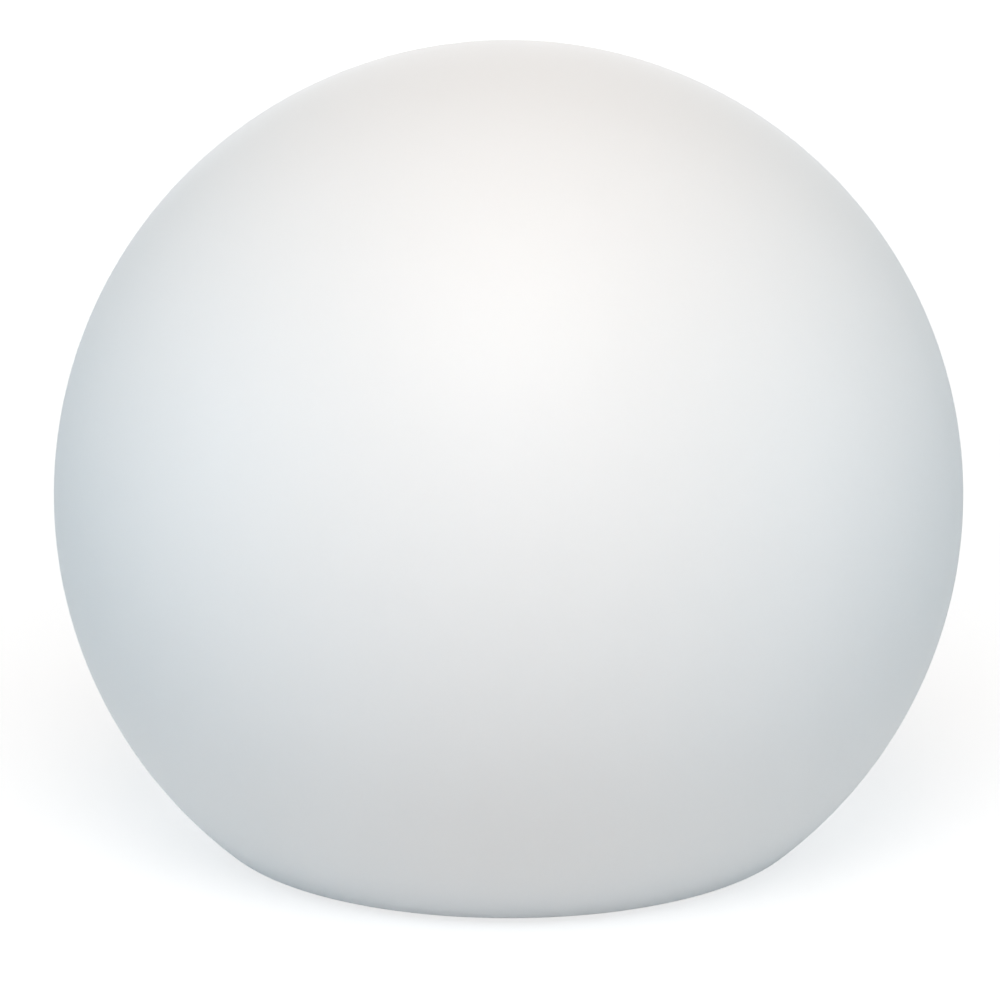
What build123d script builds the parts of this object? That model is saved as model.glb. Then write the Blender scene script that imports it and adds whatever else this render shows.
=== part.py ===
"""A cordless garden globe light: a white hollow ball on a flat foot, lit by a battery module from below.

The ball is one rotomoulded shell of polyethylene. Its foot is a flat ring with four pads, and inside the
ring a recess leads up to a short neck. A collar is screwed up into the neck, and the lamp module turns
into the collar with four helical lugs and seals against it with a flat ring. The module is a tub with two
finger scoops, a power button and a charging socket under it, and inside it the circuit board, two battery
cells, a metal plate with the LED board, and a domed cover that lights the ball.

Frame: +Z up, origin on the ground under the middle of the ball, front towards -Y. Millimetres.
"""

import os
from math import atan2, cos, degrees, pi, radians, sin, sqrt

from build123d import *

# ---- Driving sizes ----

# Ball and foot
globe_diameter = 400.0
globe_wall = 3.2
foot_radius = 123.8  # of the flat part of the foot
foot_edge_round = 12.0  # where the ball turns into its flat foot
foot_inner_round = 4.5  # where the foot turns up into the recess
recess_corner_round = 3.0
recess_gap = 2.5  # all round the module's flange
neck_lip_round = 4.4
neck_height = 12.0  # above the ceiling of the recess
neck_gap = 0.5  # between the neck and the collar
insert_boss_radius = 6.5
insert_boss_height = 13.0

# Pads under the foot
pad_radius = 8.0
pad_thickness = 1.5
pad_count = 4

# Collar, its inserts, gasket and screws
collar_wall = 3.0
collar_flange_thickness = 3.5
collar_height = 27.0  # from the underside of its flange
collar_gasket_thickness = 1.0
collar_screw_count = 6
insert_radius = 3.4
insert_length = 9.0
insert_depth = 0.6  # below the face of its boss
insert_groove_width = 0.8
insert_groove_depth = 0.5
collar_screw_length = 13.0
collar_screw_shank = 2.0
collar_screw_head = 3.9

# Twist lock of the module
lug_count = 4
lug_lead = 24.0  # rise in one whole turn
lug_span = 40.0  # degrees that each lug and each ridge takes
lug_depth = 2.5
lug_height = 3.6
lug_crest = 2.2  # height of a lug at its crest
lug_play = 0.2  # between a lug and the ridge under it
lug_gap = 0.5  # between a crest and the wall that it faces
lug_root = 0.6  # how far a lug is moulded into its wall
stop_width = 2.4  # of the rib that ends the closing turn
stop_gap = 0.3  # between that rib and the lug when closed

# Flat ring that seals the module to the collar
seal_thickness = 2.4
seal_width = 7.6
seal_groove_depth = 1.2
seal_play = 0.05
seal_side_gap = 0.3
seal_wall = 0.5  # between the bore of the collar and the groove

# Tub of the module
module_gap = 3.5  # between the ground and the underside, a little over the drop on unlocking
module_flange_rim = 14.4  # of the flange outside the seal
module_flange_thickness = 4.0
module_flange_chamfer = 0.8
barrel_radius = 58.5
barrel_wall = 2.8
floor_thickness = 3.0
scoop_post_gap = 1.5  # between the wall of a scoop and a post
scoop_depth = 9.0
scoop_wall = 2.5
scoop_corner_round = 6.0
scoop_top_round = 3.0
scoop_draft = 6.0  # degrees
scoop_mouth_chamfer = 0.8
grip_bar_width = 22.0
post_radius = 4.0
post_edge = 5.5  # from the edge of the board to the middle of a post
post_count = 4
post_hole = 1.4
rim_boss_radius = 4.3
rim_boss_height = 14.0
rim_boss_sink = 1.0  # into the wall of the barrel

# Power button and its switch
port_edge = 7.5  # from the edge of the board to the middle of the button and of the socket
button_radius = 6.0
button_gap = 0.35
button_sink = 0.5  # of its face below the underside
button_travel = 0.8
button_flange_width = 1.4
button_flange_thickness = 1.2
button_stem = 2.0
button_dish_radius = 9.0
button_dish_depth = 0.7
ring_section = 0.7  # radius of the rubber ring's own section
ring_gap = 0.05  # between the ring and the hole it wipes
switch_side = 12.0
switch_height = 4.0
switch_well = 2.8  # depth of the plunger's hole
plunger_radius = 1.9
plunger_length = 2.0
plunger_play = 0.05
plunger_hole_gap = 0.1

# Charging socket and its cap
socket_side = 10.0
socket_nose = 4.0
socket_bore = 2.8
socket_pin = 1.05
socket_pin_sink = 1.4  # of the pin's tip inside the mouth
socket_mouth_gap = 0.4  # between the cap's recess and the mouth
socket_depth = 8.4
port_boss_thickness = 6.0
port_boss_margin = 4.0
port_boss_round = 2.0
cap_radius = 6.5
cap_thickness = 1.8
cap_sink = 0.2  # of the cap below the underside
cap_gap = 0.4  # round the cap in its recess
cap_spigot_root = 2.5
cap_spigot_tip = 2.2
cap_spigot_length = 2.6
cap_spigot_bore = 1.5
cap_tab_length = 4.5
cap_tab_width = 6.0
cap_tab_round = 2.0
cap_nail_radius = 2.4  # of the notch for a fingernail at the end of the tab
cap_hinge_reach = 12.0  # from the middle of the cap to its hinge
cap_hinge_gap = 0.15
strap_width = 5.0
strap_thickness = 1.2
strap_anchor_reach = 6.0  # from the hinge to the middle of the anchor
strap_anchor_radius = 3.2
strap_stem = 1.3
strap_bulb = 2.2
strap_bulb_height = 2.0

# Light pipe of the charging lamp
pipe_place = -22.0  # along X
pipe_radius = 1.5
pipe_flange = 2.6
pipe_flange_thickness = 1.0
indicator_length = 3.2
indicator_width = 1.6
indicator_height = 1.1

# Circuit board and what is on it
board_clearance = 1.5  # above the scoops
board_thickness = 1.6
board_edge_gap = 0.6  # from the bosses under the rim, which the board passes on its way in
chip_side = 7.0
chip_height = 1.0
driver_length = 6.0
driver_width = 5.0
driver_height = 1.6
driver_pitch = 8.0
driver_count = 4
chip_place = 14.0  # of the processor and of the row of drivers, from the middle
coil_side = 8.0
coil_height = 4.2
coil_corner = 1.6
coil_well = 3.2
coil_core = 2.4
coil_well_depth = 0.8
coil_place = 12.0
capacitor_radius = 3.2
capacitor_height = 8.0
capacitor_pitch = 8.0
capacitor_edge = 17.5  # from the edge of the board to the row of them
capacitor_round = 0.5
socket_block_height = 6.0
socket_block_width = 5.0
socket_block_length = 11.0
led_lead_count = 4
led_lead_pitch = 2.2
battery_lead_pitch = 3.2
wire_radius = 0.7
wire_bend = 1.8
lead_rise = 0.3  # of the LED leads before they bend over

# Spacers, battery tray and cells
spacer_flats = 5.5
spacer_height = 14.0
spacer_stud = 1.3
spacer_stud_length = 6.0
tray_thickness = 2.4
tray_rail_height = 7.0
tray_rail_length = 16.0
tray_rail_place = 22.0  # from the middle to the middle of each rail
tray_rail_width = 2.0
cell_radius = 9.2
cell_length = 65.2
cell_gap = 0.3
cell_cap_radius = 4.0
cell_cap_height = 0.8
cell_end_round = 0.8
tab_thickness = 0.3
tab_width = 5.0
clamp_length = 14.0
clamp_thickness = 2.0
clamp_ear = 10.0
clamp_gap = 0.3

# Screws inside the module
screw_shank = 1.45
screw_head = 2.8
screw_head_height = 2.0
screw_head_round = 0.8
screw_gap = 0.1  # round a shank in its hole
screw_recess_depth = 1.0
recess_arm = 1.1  # whole length of one bar of the cross, in radii of the head
recess_width = 0.3
tray_screw_length = 6.0
clamp_screw_length = 8.0
cover_screw_length = 14.0
board_screw_length = 5.0
clamp_boss_height = 6.0

# Metal plate, LED board and cover
plate_thickness = 2.0
plate_edge_gap = 0.5
plate_clearance = 2.5  # above the battery clamp
led_board_gap = 3.5  # between the LED board and the middle of the leads
led_board_thickness = 1.6
led_side = 5.0
led_height = 1.6
led_lens_radius = 1.9
led_lens_height = 0.25
led_ring_edge = 6.0  # from the edge of the board to the middle of the outer ring
led_ring_pitch = 9.5
led_ring_counts = (12, 8, 4)  # LEDs in each ring, the outer one first
led_board_screw_edge = 10.0
led_board_screw_count = 4
receiver_width = 6.0
receiver_depth = 5.0
receiver_height = 6.5
receiver_lens = 2.0
receiver_lens_sink = 0.6  # of the lens below the top
lead_hole_edge = 7.0  # from the edge of the board to the leads
lead_hole_radius = 2.4
lead_hole_pitch = 3.2
cover_gasket_thickness = 1.5
cover_flange_thickness = 3.0
cover_land = 3.1  # of the flange between the screw heads and the dome
cover_dome_height = 22.0
cover_wall = 2.2
cover_screw_count = 6

# Fit between pieces of one assembly that stay put
fit_gap = 0.05

# ---- Places worked out from the driving sizes ----

ball_radius = globe_diameter / 2
foot_z = pad_thickness
ball_z = foot_z + foot_edge_round + sqrt((ball_radius - foot_edge_round) ** 2 - foot_radius**2)
globe_height = ball_z + ball_radius

underside_z = module_gap
flange_top_z = underside_z + module_flange_thickness
groove_z = flange_top_z - seal_groove_depth
seal_z = groove_z + seal_play
collar_z = seal_z + seal_thickness + seal_play
collar_gasket_z = collar_z + collar_flange_thickness
ceiling_z = collar_gasket_z + collar_gasket_thickness
neck_top_z = ceiling_z + neck_height
collar_top_z = collar_z + collar_height

lug_crest_radius = barrel_radius + lug_depth
collar_bore = lug_crest_radius + lug_gap
collar_barrel_radius = collar_bore + collar_wall
neck_radius = collar_barrel_radius + neck_gap
seal_inner = collar_bore + seal_wall
seal_outer = seal_inner + seal_width
module_flange_radius = seal_outer + module_flange_rim
collar_flange_radius = module_flange_radius
recess_radius = module_flange_radius + recess_gap
collar_screw_circle = (seal_outer + collar_flange_radius) / 2
ridge_z = (ceiling_z + collar_top_z) / 2 - lug_height / 2
lug_z = ridge_z + lug_height + lug_play
lug_rise = lug_lead * lug_span / 360
unlock_turn = 180 / lug_count  # degrees, to the middle of the gap between two ridges
unlock_drop = lug_lead * unlock_turn / 360

foot_inner_radius = recess_radius + foot_inner_round
pad_circle = (foot_inner_radius + foot_radius) / 2

barrel_bore = barrel_radius - barrel_wall
floor_top_z = underside_z + floor_thickness
scoop_top_z = underside_z + scoop_depth
board_z = scoop_top_z + scoop_wall + board_clearance
board_top_z = board_z + board_thickness
rim_boss_circle = barrel_bore - rim_boss_radius + rim_boss_sink
board_radius = rim_boss_circle - rim_boss_radius - board_edge_gap
post_circle = board_radius - post_edge
scoop_radius = post_circle - post_radius - scoop_wall - scoop_post_gap
button_place = port_edge - board_radius
socket_place = board_radius - port_edge
tray_z = board_top_z + spacer_height
tray_top_z = tray_z + tray_thickness
tray_radius = board_radius
cell_z = tray_top_z + cell_gap + cell_radius
cell_side = cell_radius + cell_gap / 2
pair_side = cell_side + cell_radius  # to the outer side of the pair of cells
clamp_z = cell_z + cell_radius + clamp_gap
clamp_top_z = clamp_z + clamp_thickness
plate_z = clamp_top_z + plate_clearance
rim_z = plate_z + plate_thickness
lead_hole_place = board_radius - lead_hole_edge
led_board_radius = lead_hole_place - led_board_gap
led_board_screw_circle = led_board_radius - led_board_screw_edge
led_board_z = rim_z
led_board_top_z = led_board_z + led_board_thickness
cover_z = rim_z + cover_gasket_thickness
cover_flange_top_z = cover_z + cover_flange_thickness
cover_dome_radius = rim_boss_circle - screw_head - cover_land

button_face_z = underside_z + button_sink
button_flange_z = floor_top_z + fit_gap
button_flange_top_z = button_flange_z + button_flange_thickness
plunger_tip_z = board_z - switch_height - plunger_length
stem_top_z = plunger_tip_z - plunger_play

cap_z = underside_z + cap_sink
cap_top_z = cap_z + cap_thickness
cap_recess_top_z = cap_top_z + cap_gap / 2
socket_mouth_z = cap_recess_top_z + socket_mouth_gap
port_boss_top_z = underside_z + port_boss_thickness
cap_hinge_y = cap_hinge_reach
strap_anchor_y = cap_hinge_y + strap_anchor_reach

lead_x = cell_length / 2 + cell_cap_height + tab_thickness + wire_radius + fit_gap
# A lead that lies in the valley between the cells
valley_z = cell_z + sqrt((cell_radius + wire_radius) ** 2 - cell_side**2) + fit_gap
tab_top_z = valley_z - wire_bend - fit_gap
tab_low_z = tab_top_z - tab_width
lead_block_top_z = board_top_z + socket_block_height

STANDING = (Align.CENTER, Align.CENTER, Align.MIN)


# ---- Plain shapes ----


def rod(radius, low, high, x=0.0, y=0.0):
    """An upright cylinder from one height to another."""
    return Pos(x, y, low) * Cylinder(radius, high - low, align=STANDING)


def tube(outer, inner, low, high, x=0.0, y=0.0):
    """An upright cylinder with a bore."""
    return rod(outer, low, high, x, y) - rod(inner, low, high, x, y)


def block(length, width, low, high, x=0.0, y=0.0):
    """An upright box, length along X and width along Y."""
    return Pos(x, y, low) * Box(length, width, high - low, align=STANDING)


def around(count, radius, first=0.0):
    """Evenly spaced places on a circle, the first at an angle in degrees."""
    angles = [radians(first + 360 * n / count) for n in range(count)]
    return [(radius * cos(a), radius * sin(a)) for a in angles]


def turned(lines):
    """A solid turned about Z from a closed outline of radius and height."""
    return revolve(Plane.XZ * make_face(lines), Axis.Z)


def prism(face, low, high):
    """A flat outline pulled up from one height to another."""
    return extrude(Pos(0, 0, low) * face, amount=high - low)


def wire_run(points):
    """A round wire through a list of points, with the same bend at each corner."""
    path = FilletPolyline(*points, radius=wire_bend)
    return sweep(Plane(origin=path @ 0, z_dir=path % 0) * Circle(wire_radius), path=path)


def cross_recess(head_radius, z, depth, x, y):
    """The cross that a screwdriver fits, cut from height z by depth, down for a negative depth."""
    arm = head_radius * recess_arm
    width = head_radius * recess_width
    low, high = sorted((z, z + depth))
    return block(arm, width, low, high, x, y) + block(width, arm, low, high, x, y)


def pan_screw(x, y, seat, length):
    """A pan-head screw whose head sits on height seat and whose shank points down."""
    top = seat + screw_head_height
    head = rod(screw_head, seat, top, x, y)
    head = fillet(head.edges().filter_by(GeomType.CIRCLE).sort_by(Axis.Z)[-1], screw_head_round)
    shank = rod(screw_shank, seat - length, seat, x, y)
    return head + shank - cross_recess(screw_head, top, -screw_recess_depth, x, y)


def helical_tooth(wall_radius, direction, middle_z, angle):
    """One tooth of the twist lock: outwards from a wall for direction 1, inwards for direction -1."""
    path = Helix(pitch=lug_lead, height=lug_rise, radius=wall_radius)
    half, crest = lug_height / 2, lug_crest / 2
    root, tip = -direction * lug_root, direction * lug_depth
    outline = [(root, -half), (0, -half), (tip, -crest), (tip, crest), (0, half), (root, half)]
    section = Plane(origin=path @ 0, x_dir=(1, 0, 0), z_dir=path % 0) * Polygon(*outline, align=None)
    tooth = sweep(section, path=path, is_frenet=True)
    return Pos(0, 0, middle_z - lug_rise / 2) * Rot(0, 0, angle - lug_span / 2) * tooth


# ---- Ball, foot pads and collar ----


def globe_outline(depth):
    """The outline of the globe, a depth inside its outer face, from the crown to the rim of the neck."""
    turn_z = foot_z + foot_edge_round
    fall = degrees(atan2(turn_z - ball_z, foot_radius))
    ball = CenterArc((0, ball_z), ball_radius - depth, 90, fall - 90)
    edge = CenterArc((foot_radius, turn_z), foot_edge_round - depth, fall, -90 - fall)
    inner_middle = (foot_inner_radius, foot_z + foot_inner_round)
    inner = CenterArc(inner_middle, foot_inner_round - depth, -90, -90)
    corner_middle = (recess_radius - recess_corner_round, ceiling_z - recess_corner_round)
    corner = CenterArc(corner_middle, recess_corner_round + depth, 0, 90)
    lip_middle = (neck_radius + neck_lip_round, ceiling_z + neck_lip_round)
    lip = CenterArc(lip_middle, neck_lip_round - depth, -90, -90)
    foot = Line(edge @ 1, inner @ 0)
    wall = Line(inner @ 1, corner @ 0)
    ceiling = Line(corner @ 1, lip @ 0)
    neck = Line(lip @ 1, (neck_radius + depth, neck_top_z))
    return [ball, edge, foot, inner, wall, corner, ceiling, lip, neck]


def globe_shell():
    """The rotomoulded ball with its foot, recess and neck, and a boss round each insert."""
    outer, inner = globe_outline(0), globe_outline(globe_wall)
    crown = Line(outer[0] @ 0, inner[0] @ 0)
    rim = Line(outer[-1] @ 1, inner[-1] @ 1)
    shell = turned([*outer, rim, *inner, crown])
    for x, y in around(collar_screw_count, collar_screw_circle):
        shell += rod(insert_boss_radius, ceiling_z + globe_wall / 2, ceiling_z + insert_boss_height, x, y)
    for x, y in around(collar_screw_count, collar_screw_circle):
        shell -= rod(insert_radius, ceiling_z, ceiling_z + insert_depth + insert_length, x, y)
    return shell


def foot_pads():
    """Round anti-slip pads stuck under the foot ring."""
    return [rod(pad_radius, 0, foot_z, x, y) for x, y in around(pad_count, pad_circle, 180 / pad_count)]


def shell_inserts():
    """Threaded brass inserts moulded into the bosses, each with two grooves that hold it."""
    low = ceiling_z + insert_depth
    inserts = []
    for x, y in around(collar_screw_count, collar_screw_circle):
        insert = tube(insert_radius - fit_gap, collar_screw_shank + fit_gap, low, low + insert_length, x, y)
        for groove in (1, 2):
            groove_low = low + groove * insert_length / 3 - insert_groove_width / 2
            core = insert_radius - insert_groove_depth
            insert -= tube(insert_radius, core, groove_low, groove_low + insert_groove_width, x, y)
        inserts.append(insert)
    return inserts


def neck_collar():
    """The collar in the neck, with a flange under the ceiling and a ridge for each lug."""
    collar = tube(collar_flange_radius, collar_bore, collar_z, collar_gasket_z)
    collar += tube(collar_barrel_radius, collar_bore, collar_z, collar_top_z)
    for n in range(lug_count):
        collar += helical_tooth(collar_bore, -1, ridge_z, 360 * n / lug_count)
        collar += turn_stop(360 * n / lug_count)
    for x, y in around(collar_screw_count, collar_screw_circle):
        collar -= rod(collar_screw_shank + screw_gap, collar_z, collar_gasket_z, x, y)
        collar -= countersink(x, y, fit_gap)
    return collar


def turn_stop(angle):
    """The rib on the collar that a lug meets at the end of the closing turn."""
    low = ridge_z + (lug_rise - lug_height) / 2
    high = lug_z + (lug_rise + lug_height) / 2
    turn = angle + lug_span / 2 + degrees((stop_gap + stop_width / 2) / lug_crest_radius)
    middle = collar_bore + (lug_root - lug_depth) / 2
    return Rot(0, 0, turn) * block(lug_root + lug_depth, stop_width, low, high, middle)


def countersink(x, y, gap):
    """The cone of a countersunk head under the collar, with a gap round it for its seat."""
    depth = collar_screw_head - collar_screw_shank
    cone = Cone(collar_screw_head + gap, collar_screw_shank + gap, depth, align=STANDING)
    return Pos(x, y, collar_z) * cone


def collar_gasket():
    """The foam gasket between collar and ceiling, with a hole for each screw."""
    outer = recess_radius - recess_corner_round - fit_gap
    gasket = tube(outer, neck_radius + neck_lip_round, collar_gasket_z, ceiling_z)
    for x, y in around(collar_screw_count, collar_screw_circle):
        gasket -= rod(collar_screw_shank + screw_gap, collar_gasket_z, ceiling_z, x, y)
    return gasket


def collar_screws():
    """Countersunk screws from below, through the collar into the inserts."""
    screws = []
    for x, y in around(collar_screw_count, collar_screw_circle):
        screw = rod(collar_screw_shank, collar_z, collar_z + collar_screw_length, x, y)
        screw += countersink(x, y, 0)
        screws.append(screw - cross_recess(collar_screw_head, collar_z, screw_recess_depth, x, y))
    return screws


# ---- Tub of the module and what sits in its floor ----


def scoop_outline(side, margin):
    """One half-moon finger scoop beside the grip bar, on side 1 or -1 of it."""
    half = Pos(0, side * (grip_bar_width / 2 + scoop_radius)) * Rectangle(2 * scoop_radius, 2 * scoop_radius)
    moon = Circle(scoop_radius) & half
    moon = fillet(moon.vertices(), scoop_corner_round)
    return offset(moon, margin) if margin else moon


def scoop_pocket(side):
    """The hollow of one scoop, drafted, with a rounded ceiling and a bevelled mouth."""
    pocket = extrude(Pos(0, 0, underside_z) * scoop_outline(side, 0), amount=scoop_depth, taper=scoop_draft)
    pocket = fillet(pocket.faces().sort_by(Axis.Z)[-1].edges(), scoop_top_round)
    mouth = Pos(0, 0, underside_z) * scoop_outline(side, scoop_mouth_chamfer)
    return pocket + extrude(mouth, amount=scoop_mouth_chamfer, taper=45)


def cap_outline(margin):
    """The outline of the charging cap with its tab and strap, seen from below, with a margin round it."""
    shape = Circle(cap_radius + margin)
    tab_end = cap_radius + cap_tab_length
    tab = Rectangle(cap_tab_width + 2 * margin, tab_end + margin, align=(Align.CENTER, Align.MAX))
    strap = Rectangle(strap_width + 2 * margin, strap_anchor_y, align=(Align.CENTER, Align.MIN))
    shape += [tab, strap, Pos(0, strap_anchor_y) * Circle(strap_anchor_radius + margin)]
    return Pos(socket_place, 0) * shape


def port_boss():
    """The thick part of the floor round the charging socket, with room for the cap under it."""
    low_y = -socket_side / 2 - port_boss_margin
    high_y = strap_anchor_y + port_boss_margin
    width = socket_side + port_boss_margin
    boss = block(width, high_y - low_y, underside_z, port_boss_top_z, socket_place, (low_y + high_y) / 2)
    return fillet(boss.edges().filter_by(Axis.Z), port_boss_round)


def module_base():
    """The tub: flange, floor and barrel in one moulding, with lugs, posts and bosses."""
    flange = rod(module_flange_radius, underside_z, flange_top_z)
    flange = chamfer(flange.edges().sort_by(Axis.Z)[0], module_flange_chamfer)
    flange -= tube(seal_outer + seal_side_gap, seal_inner - seal_side_gap, groove_z, flange_top_z)
    base = flange + rod(barrel_radius, underside_z, rim_z) - rod(barrel_bore, floor_top_z, rim_z)
    for n in range(lug_count):
        base += helical_tooth(barrel_radius, 1, lug_z, 360 * n / lug_count)
    for x, y in around(post_count, post_circle, 180 / post_count):
        base += rod(post_radius, floor_top_z - floor_thickness / 2, board_z, x, y)
        base -= rod(post_hole, board_z - spacer_stud_length, board_z, x, y)
    for side in (1, -1):
        base += prism(scoop_outline(side, scoop_wall), underside_z, scoop_top_z + scoop_wall)
        base -= scoop_pocket(side)
    base += port_boss()
    base -= prism(cap_outline(cap_gap), underside_z, cap_recess_top_z)
    tab_end_y = -cap_radius - cap_tab_length
    base -= Pos(socket_place, tab_end_y, underside_z) * Sphere(cap_nail_radius)
    base -= rod(socket_nose + fit_gap, cap_recess_top_z, port_boss_top_z, socket_place)
    base -= rod(strap_stem + fit_gap, underside_z, port_boss_top_z, socket_place, strap_anchor_y)
    base -= rod(button_dish_radius, underside_z, underside_z + button_dish_depth, button_place)
    base -= rod(button_radius + button_gap, underside_z, floor_top_z, button_place)
    base -= rod(pipe_radius + fit_gap, underside_z, floor_top_z, pipe_place)
    for x, y in around(cover_screw_count, rim_boss_circle):
        base += rod(rim_boss_radius, plate_z - rim_boss_height, plate_z, x, y)
        hole_low = cover_flange_top_z - cover_screw_length - fit_gap
        base -= rod(screw_shank + fit_gap, hole_low, plate_z, x, y)
    return base


def module_seal():
    """The flat silicone ring on the flange."""
    return tube(seal_outer, seal_inner, seal_z, seal_z + seal_thickness)


def power_button():
    """The button: face in its dish, a flange that keeps it in the floor, and a stem to the switch."""
    cap = rod(button_radius, button_face_z, button_flange_top_z, button_place)
    cap = fillet(cap.edges().sort_by(Axis.Z)[0], button_sink)
    cap += rod(button_radius + button_flange_width, button_flange_z, button_flange_top_z, button_place)
    cap += rod(button_stem, button_flange_z, stem_top_z, button_place)
    groove = Torus(button_ring_radius(), ring_section + fit_gap)
    return cap - Pos(button_place, 0, button_ring_z()) * groove


def button_ring_radius():
    """Radius of the middle line of the button's rubber ring."""
    return button_radius + button_gap - ring_gap - ring_section


def button_ring_z():
    """Height of the rubber ring, low enough to stay in its hole while the button travels."""
    return (button_face_z + floor_top_z - button_travel) / 2


def button_seal():
    """The rubber ring in the button's groove."""
    return Pos(button_place, 0, button_ring_z()) * Torus(button_ring_radius(), ring_section)


def light_pipe():
    """The clear rod that brings the charging lamp to the underside, with a flange on the floor."""
    pipe = rod(pipe_radius, underside_z, board_z - indicator_height - fit_gap, pipe_place)
    return pipe + rod(pipe_flange, floor_top_z, floor_top_z + pipe_flange_thickness, pipe_place)


def charge_socket():
    """The charging socket under the board: a block with a round nose, a bore and a centre pin."""
    socket = block(socket_side, socket_side, port_boss_top_z, board_z, socket_place)
    socket += rod(socket_nose, socket_mouth_z, port_boss_top_z, socket_place)
    socket -= rod(socket_bore, socket_mouth_z, socket_mouth_z + socket_depth, socket_place)
    tip = socket_mouth_z + socket_pin_sink
    return socket + rod(socket_pin, tip, socket_mouth_z + socket_depth, socket_place)


def charge_cap():
    """The rubber cap over the socket: a disc with a tab, a hollow spigot and its half of the strap."""
    disc = rod(cap_radius, cap_z, cap_top_z)
    tab_end = cap_radius + cap_tab_length
    tab = Rectangle(cap_tab_width, tab_end, align=(Align.CENTER, Align.MAX))
    tab = fillet(tab.vertices().group_by(Axis.Y)[0], cap_tab_round)
    disc += prism(tab, cap_z, cap_top_z)
    reach = cap_hinge_y - cap_hinge_gap
    strap = Rectangle(strap_width, reach, align=(Align.CENTER, Align.MIN))
    disc += prism(strap, cap_z, cap_z + strap_thickness)
    spigot = Cone(cap_spigot_root, cap_spigot_tip, cap_spigot_length, align=STANDING)
    disc += Pos(0, 0, cap_top_z) * spigot
    disc -= rod(cap_spigot_bore, cap_top_z, cap_top_z + cap_spigot_length)
    return Pos(socket_place, 0, 0) * disc


def cap_strap():
    """The fixed half of the strap, with the anchor that is pushed through the floor."""
    start = cap_hinge_y + cap_hinge_gap
    strap_end = Rectangle(strap_width, strap_anchor_y - start, align=(Align.CENTER, Align.MIN))
    strap = prism(Pos(0, start) * strap_end, cap_z, cap_z + strap_thickness)
    strap += rod(strap_anchor_radius, cap_z, cap_z + strap_thickness, 0, strap_anchor_y)
    strap += rod(strap_stem, cap_z, port_boss_top_z + fit_gap, 0, strap_anchor_y)
    bulb = Cone(strap_bulb, strap_stem, strap_bulb_height, align=STANDING)
    strap += Pos(0, strap_anchor_y, port_boss_top_z + fit_gap) * bulb
    return Pos(socket_place, 0, 0) * strap


# ---- Circuit board ----


def control_board():
    """The round circuit board on the four posts."""
    board = rod(board_radius, board_z, board_top_z)
    for x, y in around(post_count, post_circle, 180 / post_count):
        board -= rod(spacer_stud + screw_gap, board_z, board_top_z, x, y)
    return board


def tact_switch():
    """The push switch under the board, with a hole for its plunger."""
    low = board_z - switch_height
    switch = block(switch_side, switch_side, low, board_z, button_place)
    return switch - rod(plunger_radius + plunger_hole_gap, low, low + switch_well, button_place)


def switch_plunger():
    """The plunger of the switch, which the button's stem pushes up."""
    top = board_z - switch_height + switch_well - button_travel - fit_gap
    return rod(plunger_radius, plunger_tip_z, top, button_place)


def indicator_led():
    """The small charging lamp under the board, over the light pipe."""
    return block(indicator_length, indicator_width, board_z - indicator_height, board_z, pipe_place)


def control_chips():
    """The processor and the row of LED drivers on the board."""
    top = board_top_z + chip_height
    chips = [block(chip_side, chip_side, board_top_z, top, -chip_place, -chip_place)]
    driver_top = board_top_z + driver_height
    for n in range(driver_count):
        x = (n - (driver_count - 1) / 2) * driver_pitch
        chips.append(block(driver_length, driver_width, board_top_z, driver_top, x, chip_place))
    return chips


def power_coil():
    """The choke of the charging circuit: a ferrite block with a round core in its top."""
    top = board_top_z + coil_height
    coil = block(coil_side, coil_side, board_top_z, top, coil_place, -coil_place)
    coil = fillet(coil.edges().filter_by(Axis.Z), coil_corner)
    well = tube(coil_well, coil_core, top - coil_well_depth, top, coil_place, -coil_place)
    return coil - well


def capacitors():
    """Two upright electrolytic capacitors."""
    y = capacitor_edge - board_radius
    cans = []
    for side in (-1, 1):
        x = side * capacitor_pitch / 2
        can = rod(capacitor_radius, board_top_z, board_top_z + capacitor_height, x, y)
        cans.append(fillet(can.edges().sort_by(Axis.Z)[-1], capacitor_round))
    return cans


def board_sockets():
    """The plug sockets on the board for the battery leads and the LED leads."""
    battery = block(socket_block_width, socket_block_length, board_top_z, lead_block_top_z, lead_x)
    leds = block(socket_block_length, socket_block_width, board_top_z, lead_block_top_z, 0, lead_hole_place)
    return [battery, leds]


# ---- Battery ----


def board_spacers():
    """Hexagonal brass spacers: their studs hold the board down, and they carry the tray."""
    spacers = []
    for x, y in around(post_count, post_circle, 180 / post_count):
        hexagon = Pos(x, y) * RegularPolygon(spacer_flats / 2, 6, major_radius=False)
        spacer = prism(hexagon, board_top_z, tray_z)
        spacer += rod(spacer_stud, board_z - spacer_stud_length + fit_gap, board_top_z, x, y)
        spacer -= rod(screw_shank + fit_gap, tray_z - tray_screw_length, tray_z, x, y)
        spacers.append(spacer)
    return spacers


def clamp_screw_reach():
    """How far each screw of the battery clamp is from the middle, along Y."""
    return pair_side + clamp_gap + clamp_thickness + clamp_ear / 2


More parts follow.
